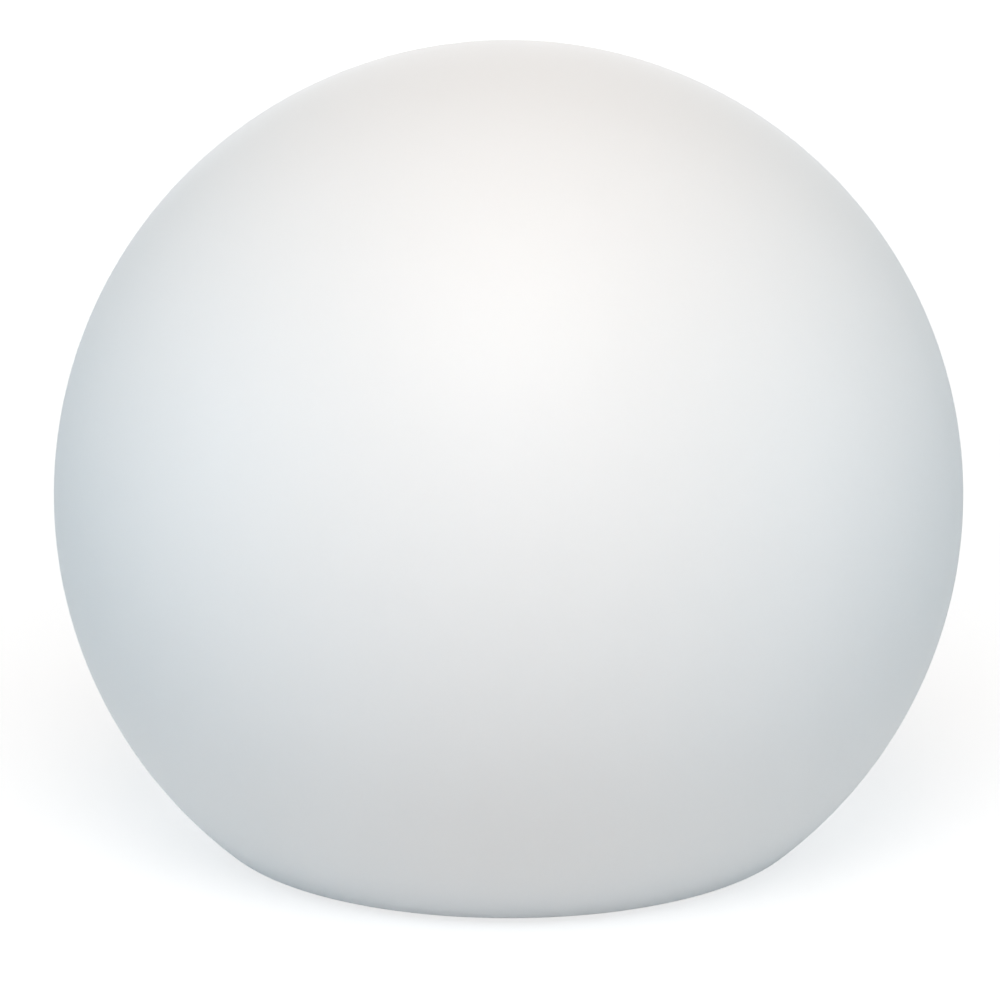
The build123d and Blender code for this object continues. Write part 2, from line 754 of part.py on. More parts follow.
def battery_tray():
    """The tray on the spacers, with rails beside the cells and stops at their ends."""
    tray = rod(tray_radius, tray_z, tray_top_z)
    rail_top = tray_top_z + tray_rail_height
    stop_x = cell_length / 2 + cell_cap_height + tab_thickness + cell_gap + tray_rail_width / 2
    rail_y = pair_side + cell_gap + tray_rail_width / 2
    for side in (1, -1):
        for end in (1, -1):
            rail_x = end * tray_rail_place
            tray += block(tray_rail_length, tray_rail_width, tray_z, rail_top, rail_x, side * rail_y)
            tray += block(tray_rail_width, cell_radius, tray_z, rail_top, end * stop_x, side * cell_side)
        screw_y = side * clamp_screw_reach()
        tray += rod(post_radius, tray_top_z - clamp_boss_height, tray_top_z, 0, screw_y)
        tray -= rod(screw_shank + fit_gap, tray_top_z - clamp_boss_height, tray_top_z, 0, screw_y)
    for x, y in around(post_count, post_circle, 180 / post_count):
        tray -= rod(screw_shank + screw_gap, tray_z, tray_top_z, x, y)
    slot_width = socket_block_length + 2 * wire_radius
    tray -= block(socket_block_width, slot_width, tray_z, tray_top_z, lead_x)
    slot_depth = tray_radius - lead_hole_place + socket_block_width / 2
    slot_y = tray_radius - slot_depth / 2
    return tray - block(slot_width, slot_depth, tray_z, tray_top_z, 0, slot_y)


def battery_cells():
    """Two round lithium cells side by side along X, each with a raised positive cap."""
    cells = []
    for side in (1, -1):
        can = Cylinder(cell_radius, cell_length)
        can = fillet(can.edges().filter_by(GeomType.CIRCLE), cell_end_round)
        cap = Pos(0, 0, cell_length / 2) * Cylinder(cell_cap_radius, cell_cap_height, align=STANDING)
        cells.append(Pos(0, side * cell_side, cell_z) * Rot(0, 90, 0) * (can + cap))
    return cells


def battery_tabs():
    """The nickel strips that join the cells at both ends."""
    strips = []
    for end, face in ((1, cell_length / 2 + cell_cap_height), (-1, cell_length / 2)):
        x = end * (face + tab_thickness / 2)
        strips.append(block(tab_thickness, 2 * cell_side + tab_width, tab_low_z, tab_top_z, x))
    return strips


def battery_clamp():
    """The bridge over the cells, with an ear on the tray at each side."""
    inner = pair_side + clamp_gap
    outer = inner + clamp_thickness
    ear_end = clamp_screw_reach() + clamp_ear / 2
    clamp = block(clamp_length, 2 * outer, tray_top_z, clamp_top_z)
    clamp -= block(clamp_length, 2 * inner, tray_top_z, clamp_z)
    clamp = fillet(clamp.edges().filter_by(Axis.X).sort_by(Axis.Z)[-2:], clamp_thickness)
    clamp += block(clamp_length, 2 * ear_end, tray_top_z, tray_top_z + clamp_thickness)
    clamp -= block(clamp_length, 2 * inner, tray_top_z, clamp_z)
    for side in (1, -1):
        hole_top = tray_top_z + clamp_thickness
        clamp -= rod(screw_shank + screw_gap, tray_top_z, hole_top, 0, side * clamp_screw_reach())
    return clamp


def battery_leads():
    """Two leads down to the board: one from the near tabs, one along the valley between the cells."""
    far_x = -(cell_length / 2 + tab_thickness + wire_radius + fit_gap)
    over = [(far_x, 0, tab_low_z), (far_x, 0, valley_z), (lead_x, 0, valley_z)]
    black = wire_run([*over, (lead_x, 0, lead_block_top_z)])
    red = rod(wire_radius, lead_block_top_z, tab_top_z, lead_x, battery_lead_pitch)
    return [black, red]


# ---- LED plate and cover ----


def heat_plate():
    """The aluminium plate on the rim bosses, which carries the LED board and takes its heat."""
    plate = rod(barrel_bore - plate_edge_gap, plate_z, rim_z)
    for x, y in around(cover_screw_count, rim_boss_circle):
        plate -= rod(screw_shank + screw_gap, plate_z, rim_z, x, y)
    for x, y in around(led_board_screw_count, led_board_screw_circle):
        plate -= rod(screw_shank + fit_gap, plate_z, rim_z, x, y)
    slot = Pos(0, lead_hole_place) * SlotOverall(led_lead_count * lead_hole_pitch, 2 * lead_hole_radius)
    return plate - prism(slot, plate_z, rim_z)


def led_board():
    """The metal-backed board of the LEDs."""
    board = rod(led_board_radius, led_board_z, led_board_top_z)
    for x, y in around(led_board_screw_count, led_board_screw_circle):
        board -= rod(screw_shank + screw_gap, led_board_z, led_board_top_z, x, y)
    return board


def led_chips():
    """The LEDs in three rings: a white square package with a low round lens."""
    chips = []
    for ring, count in enumerate(led_ring_counts):
        radius = led_board_radius - led_ring_edge - ring * led_ring_pitch
        for n in range(count):
            turn = 360 * (n + 0.5) / count
            package = Box(led_side, led_side, led_height, align=STANDING)
            lens = Cylinder(led_lens_radius, led_lens_height, align=STANDING)
            chip = package + Pos(0, 0, led_height) * lens
            chips.append(Rot(0, 0, turn) * Pos(radius, 0, led_board_top_z) * chip)
    return chips


def remote_receiver():
    """The infrared receiver in the middle of the LED board, with a round lens on its front."""
    top = led_board_top_z + receiver_height
    body = block(receiver_width, receiver_depth, led_board_top_z, top)
    lens = Pos(0, -receiver_depth / 2, top - receiver_lens - receiver_lens_sink) * Sphere(receiver_lens)
    return body + lens


def led_leads():
    """The leads from the board up through the plate and over onto the LED board."""
    pad_y = led_board_radius - led_lead_pitch / 2
    high = led_board_top_z + wire_bend + lead_rise
    leads = []
    for n in range(led_lead_count):
        x = (n - (led_lead_count - 1) / 2) * led_lead_pitch
        up = [(x, lead_hole_place, lead_block_top_z), (x, lead_hole_place, high)]
        leads.append(wire_run([*up, (x, pad_y, high), (x, pad_y, led_board_top_z)]))
    return leads


def cover_gasket():
    """The gasket between the tub's rim and the cover."""
    gasket = tube(barrel_radius, cover_dome_radius, rim_z, cover_z)
    for x, y in around(cover_screw_count, rim_boss_circle):
        gasket -= rod(screw_shank + screw_gap, rim_z, cover_z, x, y)
    return gasket


def light_cover():
    """The domed cover over the LEDs, with a flat flange."""
    base = cover_dome_radius
    rise = cover_dome_height
    dome_round = (base**2 + rise**2) / (2 * rise)
    middle_z = cover_z + rise - dome_round
    outer = Pos(0, 0, middle_z) * Sphere(dome_round)
    inner = Pos(0, 0, middle_z) * Sphere(dome_round - cover_wall)
    above = rod(barrel_radius, cover_z, cover_z + rise)
    flange = tube(barrel_radius, base - 2 * cover_wall, cover_z, cover_flange_top_z)
    cover = (outer & above) + flange - inner
    for x, y in around(cover_screw_count, rim_boss_circle):
        cover -= rod(screw_shank + screw_gap, cover_z, cover_flange_top_z, x, y)
    return cover


def screws_on(places, seat, length):
    """A set of pan-head screws whose heads sit at one height."""
    return [pan_screw(x, y, seat, length) for x, y in places]


# ---- The whole light ----


def pieces():
    """Every piece of the light under its name. A set of like pieces is a list of solids."""
    spacer_places = around(post_count, post_circle, 180 / post_count)
    clamp_places = [(0, clamp_screw_reach()), (0, -clamp_screw_reach())]
    rim_places = around(cover_screw_count, rim_boss_circle)
    led_places = around(led_board_screw_count, led_board_screw_circle)
    return {
        "globe_shell": globe_shell(),
        "foot_pads": foot_pads(),
        "shell_inserts": shell_inserts(),
        "neck_collar": neck_collar(),
        "collar_gasket": collar_gasket(),
        "collar_screws": collar_screws(),
        "module_seal": module_seal(),
        "module_base": module_base(),
        "power_button": power_button(),
        "button_seal": button_seal(),
        "light_pipe": light_pipe(),
        "charge_socket": charge_socket(),
        "charge_cap": charge_cap(),
        "cap_strap": cap_strap(),
        "control_board": control_board(),
        "tact_switch": tact_switch(),
        "switch_plunger": switch_plunger(),
        "indicator_led": indicator_led(),
        "control_chips": control_chips(),
        "power_coil": power_coil(),
        "capacitors": capacitors(),
        "board_sockets": board_sockets(),
        "board_spacers": board_spacers(),
        "battery_tray": battery_tray(),
        "tray_screws": screws_on(spacer_places, tray_top_z, tray_screw_length),
        "battery_cells": battery_cells(),
        "battery_tabs": battery_tabs(),
        "battery_clamp": battery_clamp(),
        "clamp_screws": screws_on(clamp_places, tray_top_z + clamp_thickness, clamp_screw_length),
        "battery_leads": battery_leads(),
        "heat_plate": heat_plate(),
        "led_board": led_board(),
        "led_board_screws": screws_on(led_places, led_board_top_z, board_screw_length),
        "led_chips": led_chips(),
        "remote_receiver": remote_receiver(),
        "led_leads": led_leads(),
        "cover_gasket": cover_gasket(),
        "light_cover": light_cover(),
        "cover_screws": screws_on(rim_places, cover_flange_top_z, cover_screw_length),
    }


def main():
    """Writes one STEP file for each piece."""
    os.makedirs("parts", exist_ok=True)
    for name, shape in pieces().items():
        solids = shape if isinstance(shape, list) else [shape]
        whole = Compound(children=[s for solid in solids for s in solid.solids()])
        export_step(whole, f"parts/{name}.step")
    print(f"unlock: {unlock_turn} degrees, {unlock_drop} mm; ball {globe_diameter} x {globe_height} mm")


main()
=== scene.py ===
"""Looks of a cordless garden globe light: a white hollow ball on a flat foot, with its lamp module turned in
from below. Metres, +Z up, front towards -Y."""

import math

import bpy
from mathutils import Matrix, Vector


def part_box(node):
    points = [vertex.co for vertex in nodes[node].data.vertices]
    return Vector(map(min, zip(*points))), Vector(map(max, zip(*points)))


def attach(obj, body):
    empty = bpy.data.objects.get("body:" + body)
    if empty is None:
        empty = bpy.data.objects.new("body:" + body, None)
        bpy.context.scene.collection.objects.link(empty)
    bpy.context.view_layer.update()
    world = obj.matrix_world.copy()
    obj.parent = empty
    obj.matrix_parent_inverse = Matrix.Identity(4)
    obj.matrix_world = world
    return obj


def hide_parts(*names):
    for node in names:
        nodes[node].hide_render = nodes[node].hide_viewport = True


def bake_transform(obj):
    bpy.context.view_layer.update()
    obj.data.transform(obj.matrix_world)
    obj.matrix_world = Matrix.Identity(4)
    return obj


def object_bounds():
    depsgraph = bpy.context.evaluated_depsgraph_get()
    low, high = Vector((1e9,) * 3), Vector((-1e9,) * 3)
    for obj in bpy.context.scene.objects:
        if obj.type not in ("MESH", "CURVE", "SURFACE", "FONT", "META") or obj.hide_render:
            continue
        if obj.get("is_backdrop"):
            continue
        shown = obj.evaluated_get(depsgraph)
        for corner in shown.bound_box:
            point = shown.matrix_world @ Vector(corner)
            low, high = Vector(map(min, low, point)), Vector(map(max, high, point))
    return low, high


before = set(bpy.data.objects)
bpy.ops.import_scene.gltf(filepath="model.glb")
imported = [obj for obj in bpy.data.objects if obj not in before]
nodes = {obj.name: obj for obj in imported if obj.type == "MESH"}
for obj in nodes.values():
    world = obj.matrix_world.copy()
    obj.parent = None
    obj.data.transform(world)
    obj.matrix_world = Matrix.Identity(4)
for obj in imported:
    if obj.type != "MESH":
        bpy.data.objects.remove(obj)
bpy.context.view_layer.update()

# ---- Camera ----
# The photograph looks down on the ball by about 15 degrees, from so far off that the foot shows as a flat
# ellipse. The ball stands a little right of and above the middle of the picture.
BALL_RADIUS = 0.2
CAMERA_DISTANCE = 2.4
CAMERA_TILT = math.radians(14.9)
AIM_LEFT = 0.00377
AIM_BELOW = 0.0025
ball_middle = Vector((0, 0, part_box("globe_shell")[1].z - BALL_RADIUS))
away = Vector((0, -math.cos(CAMERA_TILT), math.sin(CAMERA_TILT)))
upward = Vector((0, math.sin(CAMERA_TILT), math.cos(CAMERA_TILT)))
aim = ball_middle - Vector((AIM_LEFT, 0, 0)) - AIM_BELOW * upward
camera_data = bpy.data.cameras.new("camera")
camera_data.sensor_width = 36
camera_data.lens = 195.8
camera = bpy.data.objects.new("camera", camera_data)
bpy.context.collection.objects.link(camera)
camera.location = ball_middle + CAMERA_DISTANCE * away
camera.rotation_euler = (aim - camera.location).to_track_quat("-Z", "Y").to_euler()
bpy.context.scene.camera = camera

# ---- Ball ----
# One rotomoulded shell of white polyethylene, 3.2 mm thick and satin outside. The mould turns while the
# powder melts, so the ball has no seam. The foot, the recess and the neck are formed in the same shell.
WALL = 0.0032
FOOT_RADIUS = 0.1238
FOOT_ROUND = 0.012
FOOT_FLAT_RINGS = (0.116, 0.104)
FOOT_INNER_ROUND = 0.0045
RECESS_RADIUS = 0.0865
RECESS_ROUND = 0.003
RECESS_RING_RISE = 0.007
CEILING_Z = 0.0133
CEILING_RING = 0.077
NECK_RADIUS = 0.065
NECK_ROUND = 0.0044
NECK_TOP_Z = 0.0253
BOSS_RADIUS = 0.0065
BOSS_ROUND = 0.001
BOSS_TOP_Z = CEILING_Z + 0.013
INSERT_CIRCLE = 0.0768
INSERT_RADIUS = 0.0034
INSERT_TOP_Z = CEILING_Z + 0.0096
BORE_LOW = CEILING_Z - 0.001
TIP_RADIUS = 0.0005
MERGE_DISTANCE = 2e-6
RING_TOLERANCE = 1e-5
foot_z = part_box("globe_shell")[0].z


def pick(*pieces):
    """Leaves edit mode and selects only these pieces, the first one active."""
    if bpy.context.object and bpy.context.object.mode != "OBJECT":
        bpy.ops.object.mode_set(mode="OBJECT")
    bpy.ops.object.select_all(action="DESELECT")
    for piece in pieces:
        piece.select_set(True)
    if pieces:
        bpy.context.view_layer.objects.active = pieces[0]


def edit(piece):
    """Opens a piece for editing with everything selected."""
    pick(piece)
    bpy.ops.object.mode_set(mode="EDIT")
    bpy.ops.mesh.select_all(action="SELECT")


def extrude(x, y, z):
    """In edit mode, pulls the selection out by this step."""
    bpy.ops.mesh.extrude_region_move(TRANSFORM_OT_translate={"value": (x, y, z)})


def modify(piece, kind, **settings):
    """Applies a modifier with these settings."""
    pick(piece)
    modifier = piece.modifiers.new(kind, kind)
    for name, value in settings.items():
        setattr(modifier, name, value)
    bpy.ops.object.modifier_apply(modifier=modifier.name)


def smooth(piece, angle):
    """Smooth shading, with the edges above this angle kept sharp."""
    pick(piece)
    bpy.ops.object.shade_smooth_by_angle(angle=math.radians(angle))


def outward(piece):
    """Merges doubles and points the faces outwards."""
    edit(piece)
    bpy.ops.mesh.remove_doubles(threshold=MERGE_DISTANCE)
    bpy.ops.mesh.normals_make_consistent(inside=False)
    pick(piece)


def join(pieces, name):
    """Makes one mesh of several."""
    pick(*pieces)
    bpy.ops.object.join()
    pieces[0].name = name
    pieces[0].data.name = name
    return pieces[0]


def arc(middle, radius, start, end, steps):
    """Points of radius and height along an arc, in degrees."""
    points = []
    for step in range(steps + 1):
        turn = math.radians(start + (end - start) * step / steps)
        points.append((middle[0] + radius * math.cos(turn), middle[1] + radius * math.sin(turn)))
    return points


def pull_rings(outline, ring):
    """In edit mode, pulls the selected ring of edges on through an outline of radius and height."""
    for point in outline:
        extrude(0, 0, point[1] - ring[1])
        share = point[0] / ring[0]
        bpy.ops.transform.resize(value=(share, share, 1))
        ring = point


def turned(outline, segments):
    """A round solid pulled ring by ring along an outline of radius and height."""
    pick()
    radius, height = outline[0]
    place = (0, 0, height)
    bpy.ops.mesh.primitive_circle_add(vertices=segments, radius=radius, location=place, fill_type="NGON")
    piece = bpy.context.object
    bpy.ops.object.transform_apply()
    edit(piece)
    pull_rings(outline[1:], outline[0])
    outward(piece)
    return piece


def copies(piece, places, name):
    """One mesh of copies of a piece, which is used up, at places x, y and turn in radians."""
    made = []
    for x, y, turn in places:
        copy = piece.copy()
        copy.data = piece.data.copy()
        bpy.context.collection.objects.link(copy)
        copy.location = (x, y, 0)
        copy.rotation_euler = (0, 0, turn)
        pick(copy)
        bpy.ops.object.transform_apply()
        made.append(copy)
    bpy.data.objects.remove(piece)
    return join(made, name)


def ring_places(count, circle, first=0):
    """Places on a circle with their turns, the first at an angle in degrees."""
    turns = [math.radians(first + 360 * n / count) for n in range(count)]
    return [(circle * math.cos(turn), circle * math.sin(turn), turn) for turn in turns]


def combine(piece, other, operation):
    """Joins another mesh to a piece, or cuts it out of it."""
    modify(piece, "BOOLEAN", object=other, operation=operation, solver="EXACT")
    bpy.data.objects.remove(other)
    edit(piece)
    bpy.ops.mesh.dissolve_degenerate(threshold=MERGE_DISTANCE)
    pick(piece)


class Shade:
    """A socket of a material. Operators on sockets and numbers add Math nodes."""

    def __init__(self, tree, socket=None):
        self.tree = tree
        self.socket = socket

    def node(self, kind, settings, sockets, output=0):
        """Adds a node: its settings first, then the value or link of each socket. Returns one output."""
        node = self.tree.nodes.new(kind)
        for name, value in settings.items():
            setattr(node, name, value)
        for name, value in sockets.items():
            if isinstance(value, Shade):
                self.tree.links.new(value.socket, node.inputs[name])
            else:
                node.inputs[name].default_value = value
        return Shade(self.tree, node.outputs[output])

    def math(self, operation, *others):
        """A Math node of this operation, with this socket first."""
        return self.node("ShaderNodeMath", {"operation": operation}, dict(enumerate((self, *others))))

    def __add__(self, other):
        return self.math("ADD", other)

    def __sub__(self, other):
        return self.math("SUBTRACT", other)

    def __rsub__(self, other):
        return self.node("ShaderNodeMath", {"operation": "SUBTRACT"}, {0: other, 1: self})

    def __mul__(self, other):
        return self.math("MULTIPLY", other)

    def __lt__(self, other):
        return self.math("LESS_THAN", other)

    def __gt__(self, other):
        return self.math("GREATER_THAN", other)

    def __abs__(self):
        return self.math("ABSOLUTE")

    __radd__ = __add__
    __rmul__ = __mul__


def new_finish(name, constants):
    """A material whose Principled shader has these constants, and the place on the piece in metres."""
    material = bpy.data.materials.new(name)
    material.use_nodes = True
    tree = material.node_tree
    for socket, value in constants.items():
        tree.nodes["Principled BSDF"].inputs[socket].default_value = value
    return material, Shade(tree).node("ShaderNodeTexCoord", {}, {}, "Object")


def grain(place, size, detail=2, roughness=0.5, distortion=0):
    """Cloudy noise from 0 to 1, whose grains have about this size in metres."""
    sockets = {"Vector": place, "Scale": 1 / size, "Detail": detail}
    sockets.update({"Roughness": roughness, "Distortion": distortion})
    return place.node("ShaderNodeTexNoise", {}, sockets)


def between(mask, low, high, start=0, end=1):
    """Maps a value from start..end to low..high, clamped."""
    return mask.node("ShaderNodeMapRange", {"clamp": True}, {0: mask, 1: start, 2: end, 3: low, 4: high})


def mixed(mask, *colours):
    """A colour that turns into another one where the mask is 1."""
    colour, other = (value if isinstance(value, Shade) else (*value, 1) for value in colours)
    return mask.node("ShaderNodeMix", {"data_type": "RGBA"}, {0: mask, 6: colour, 7: other}, 2)


def relief(height, depth):
    """A bump of this depth in metres."""
    return height.node("ShaderNodeBump", {}, {"Height": height, "Distance": depth})


def coat(material, varying, *pieces):
    """Links what varies over the surface to the shader, and gives the material to the pieces."""
    shader = material.node_tree.nodes["Principled BSDF"]
    for socket, value in varying.items():
        material.node_tree.links.new(value.socket, shader.inputs[socket])
    for piece in pieces:
        if not piece.material_slots:
            piece.data.materials.append(material)
        for slot in piece.material_slots:
            slot.material = material


pick()
bpy.ops.mesh.primitive_uv_sphere_add(segments=192, ring_count=108, radius=BALL_RADIUS, location=ball_middle)
globe = bpy.context.object
globe.name = "globe"
bpy.ops.object.transform_apply()
turn_z = foot_z + FOOT_ROUND
edge_fall = math.degrees(math.atan2(turn_z - ball_middle.z, FOOT_RADIUS))
edge_radius, edge_z = arc((0, ball_middle.z), BALL_RADIUS, edge_fall, edge_fall, 1)[0]
edit(globe)
bpy.ops.mesh.bisect(plane_co=(0, 0, edge_z), plane_no=(0, 0, 1), clear_inner=True)
bpy.ops.mesh.select_mode(type="VERT")
bpy.ops.mesh.select_all(action="DESELECT")
bpy.ops.object.mode_set(mode="OBJECT")
for vertex in globe.data.vertices:
    vertex.select = abs(vertex.co.z - edge_z) <= RING_TOLERANCE
bpy.ops.object.mode_set(mode="EDIT")
outline = arc((FOOT_RADIUS, turn_z), FOOT_ROUND, edge_fall, -90, 8)
outline += [(radius, foot_z) for radius in FOOT_FLAT_RINGS]
inner_foot = (RECESS_RADIUS + FOOT_INNER_ROUND, foot_z + FOOT_INNER_ROUND)
outline += arc(inner_foot, FOOT_INNER_ROUND, -90, -180, 8)
outline += [(RECESS_RADIUS, foot_z + RECESS_RING_RISE)]
outline += arc((RECESS_RADIUS - RECESS_ROUND, CEILING_Z - RECESS_ROUND), RECESS_ROUND, 0, 90, 6)
outline += [(CEILING_RING, CEILING_Z)]
outline += arc((NECK_RADIUS + NECK_ROUND, CEILING_Z + NECK_ROUND), NECK_ROUND, -90, -180, 8)
outline += [(NECK_RADIUS, NECK_TOP_Z)]
pull_rings(outline[1:], (edge_radius, edge_z))
outward(globe)
modify(globe, "SOLIDIFY", thickness=WALL, offset=-1, use_even_offset=True)
outline = [(BOSS_RADIUS, CEILING_Z + WALL / 2), (BOSS_RADIUS, BOSS_TOP_Z - BOSS_ROUND)]
outline += arc((BOSS_RADIUS - BOSS_ROUND, BOSS_TOP_Z - BOSS_ROUND), BOSS_ROUND, 18, 90, 4)
outline += [(TIP_RADIUS, BOSS_TOP_Z)]
bosses = copies(turned(outline, 40), ring_places(6, INSERT_CIRCLE), "bosses")
outline = [(INSERT_RADIUS, BORE_LOW), (INSERT_RADIUS, INSERT_TOP_Z), (TIP_RADIUS, INSERT_TOP_Z)]
bores = copies(turned(outline, 40), ring_places(6, INSERT_CIRCLE), "bores")
combine(globe, bosses, "UNION")
combine(globe, bores, "DIFFERENCE")
smooth(globe, 50)

polyethylene, place = new_finish("polyethylene", {"IOR": 1.51, "Specular IOR Level": 0.35})
cloud = grain(place, 0.11)
fine = grain(place, 0.0016, 3, 0.6)
peel = grain(place, 0.006)
coat(polyethylene, {
    "Base Color": mixed(between(cloud, 0.25, 0.75), (0.885, 0.885, 0.88), (0.91, 0.908, 0.9)),
    "Roughness": between(0.5 * cloud + 0.5 * fine, 0.46, 0.6),
    "Normal": relief(peel * 0.7 + fine * 0.3, 0.00012),
}, globe)
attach(globe, "globe")
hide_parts("globe_shell")

# ---- Marks on the foot ----
# Shallow marks raised on the foot ring and rubbed with grey wax: a closed padlock where the module's pointer
# stands when it is locked, and an open one where it stands when the module can be pulled out.
MARK_RISE = 0.00025
MARK_ROOT = 0.0002
MARK_STEP = 0.00003
MARK_REACH = 0.0952
LOCKED_TURN = math.radians(-90)
UNLOCK_TURN = math.radians(45)
LOCK_WIDTH = 0.0038
LOCK_LOW, LOCK_HIGH = -0.0022, 0.0004
SHACKLE_RADIUS = 0.00125
SHACKLE_Y = 0.0009
SHACKLE_LINE = 0.0005
LEG_LOW, LEG_HIGH = 0.0001, 0.00094
OPEN_SHIFT = 0.0012


def drawn(points, low, high):
    """A flat shape drawn from corner to corner and pulled up from one height to another."""
    pick()
    bpy.ops.mesh.primitive_plane_add(size=0.001, location=(*points[0], low))
    piece = bpy.context.object
    bpy.ops.object.transform_apply()
    edit(piece)
    bpy.ops.mesh.merge(type="CENTER")
    for start, end in zip(points, points[1:]):
        extrude(end[0] - start[0], end[1] - start[1], 0)
    bpy.ops.mesh.select_all(action="SELECT")
    bpy.ops.mesh.edge_face_add()
    extrude(0, 0, high - low)
    bpy.ops.mesh.select_all(action="SELECT")
    bpy.ops.mesh.normals_make_consistent(inside=False)
    pick(piece)
    return piece


def bar(start, end, width):
    """Corners of a straight bar."""
    start, end = Vector(start), Vector(end)
    along = end - start
    across = Vector((-along.y, along.x)).normalized() * width / 2
    return [tuple(corner) for corner in (start + across, start - across, end - across, end + across)]


def band(middle, radius, width, start, end, steps=24):
    """Corners of a curved bar, in degrees."""
    outer = arc(middle, radius + width / 2, start, end, steps)
    return outer + arc(middle, radius - width / 2, end, start, steps)


def turned_about(points, turn, reach):
    """Points moved out along +Y by a reach and then turned, so that +Y faces outwards at this turn."""
    cosine, sine = math.cos(turn - math.pi / 2), math.sin(turn - math.pi / 2)
    return [(x * cosine - (y + reach) * sine, x * sine + (y + reach) * cosine) for x, y in points]


mark_pieces = []
for turn, shift in ((LOCKED_TURN, 0.0), (LOCKED_TURN - UNLOCK_TURN, OPEN_SHIFT)):
    shapes = [(bar((0, LOCK_LOW), (0, LOCK_HIGH), LOCK_WIDTH), 0)]
    shapes.append((band((shift, SHACKLE_Y), SHACKLE_RADIUS, SHACKLE_LINE, 0, 180), 0))
    for x, low in ((shift - SHACKLE_RADIUS, LEG_LOW), (shift + SHACKLE_RADIUS, LEG_LOW + shift / 2)):
        shapes.append((bar((x, low), (x, LEG_HIGH), SHACKLE_LINE), MARK_STEP))
    for shape, sunk in shapes:
        points = turned_about(shape, turn, MARK_REACH)
        mark_pieces.append(drawn(points, foot_z - MARK_RISE + sunk, foot_z + MARK_ROOT))
foot_marks = join(mark_pieces, "foot_marks")

mark_wax, place = new_finish("mark_wax", {"IOR": 1.5, "Specular IOR Level": 0.3})
fleck = grain(place, 0.0003, 3, 0.6)
worn = between(grain(place, 0.003, 4, 0.65), 0, 1, 0.6, 0.75)
coat(mark_wax, {
    "Base Color": mixed(worn, (0.3, 0.305, 0.31), (0.8, 0.8, 0.79)),
    "Roughness": between(fleck * 0.5 + worn * 0.5, 0.5, 0.72),
    "Normal": relief(fleck, 0.00004),
}, foot_marks)
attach(foot_marks, "globe")

# ---- Foot pads ----
# Four round pads of grey rubber, 1.5 mm thick, stuck under the foot ring between the recess and the edge.
# Each has a rounded rim and two grooves that grip a smooth table.
PAD_RADIUS = 0.008
PAD_ROUND = 0.0005
PAD_CIRCLE = 0.1074
PAD_TIP = 0.0015
GROOVE_RADII = (0.0062, 0.0038)
GROOVE_DEPTH = 0.0004
GROOVE_DRAFT = 0.0002
GROOVE_WIDTH = 0.0011

outline = [(PAD_RADIUS, foot_z), (PAD_RADIUS, PAD_ROUND)]
outline += arc((PAD_RADIUS - PAD_ROUND, PAD_ROUND), PAD_ROUND, -18, -90, 4)
for groove in GROOVE_RADII:
    inner = groove - GROOVE_WIDTH
    outline += [(groove, 0), (groove - GROOVE_DRAFT, GROOVE_DEPTH)]
    outline += [(inner + GROOVE_DRAFT, GROOVE_DEPTH), (inner, 0)]
outline += [(PAD_TIP, 0)]
foot_pads = copies(turned(outline, 64), ring_places(4, PAD_CIRCLE, 45), "foot_pads_moulded")
smooth(foot_pads, 35)

pad_rubber, place = new_finish("pad_rubber", {"IOR": 1.52, "Specular IOR Level": 0.3})
fine = grain(place, 0.0007, 3, 0.65)
dust = grain(place, 0.006, 4, 0.6)
coat(pad_rubber, {
    "Base Color": mixed(between(dust, -0.6, 1.1), (0.28, 0.28, 0.29), (0.37, 0.365, 0.36)),
    "Roughness": between(fine, 0.72, 0.92),
    "Normal": relief(fine, 0.00008),
}, foot_pads)
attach(foot_pads, "globe")
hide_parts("foot_pads")

# ---- Brass inserts and spacers ----
# Turned brass: six threaded inserts moulded into the bosses of the shell, and four hexagonal spacers with
# studs between the circuit board and the battery tray.


def part_of(place, axis):
    """One coordinate of a place."""
    return place.node("ShaderNodeSeparateXYZ", {}, {0: place}, axis)


def stretched(place, x, y, z):
    """A place whose coordinates are scaled, for grain that runs one way."""
    return place.node("ShaderNodeMapping", {}, {"Vector": place, "Scale": (x, y, z)})


def bands(place, axis, pitch, waviness=0):
    """Bands across an axis, from 0 to 1, this far apart in metres."""
    # One band of this texture is pi / 10 long at scale 1.
    sockets = {"Vector": place, "Scale": math.pi / (10 * pitch), "Distortion": waviness, "Detail": 2}
    return place.node("ShaderNodeTexWave", {"wave_type": "BANDS", "bands_direction": axis}, sockets, 1)


brass, place = new_finish("turned_brass", {"Specular Tint": (1, 0.95, 0.85, 1)})
tarnish = grain(place, 0.003, 4, 0.6)
tool_marks = bands(place, "Z", 0.00022, 0.4)
coat(brass, {
    "Base Color": mixed(tarnish, (0.7, 0.51, 0.23), (0.83, 0.66, 0.35)),
    "Metallic": between(tarnish, 0.94, 1),
    "Roughness": between(tarnish * 0.6 + tool_marks * 0.4, 0.2, 0.42),
    "Normal": relief(tool_marks, 0.00003),
}, nodes["shell_inserts"], nodes["board_spacers"])

# ---- Collar ----
# The fixed half of the twist lock, moulded in grey nylon with glass fibre: a flange under the ceiling of the
# recess and a barrel up into the neck, with four helical ridges and their stops.
nylon, place = new_finish("grey_nylon", {"IOR": 1.53, "Specular IOR Level": 0.45})
fibre = grain(stretched(place, 1, 1, 0.25), 0.0006, 3, 0.6)
flow = grain(place, 0.02, 3, 0.5)
coat(nylon, {
    "Base Color": mixed(fibre * 0.6 + flow * 0.4, (0.57, 0.58, 0.59), (0.67, 0.68, 0.69)),
    "Roughness": between(fibre, 0.42, 0.66),
    "Normal": relief(fibre, 0.00004),
}, nodes["neck_collar"])

# ---- Collar gasket ----
# A ring cut from black closed-cell foam, 1 mm thick. The six screws press it between the collar and the
# ceiling of the recess.
CELLS_PER_METRE = 2200

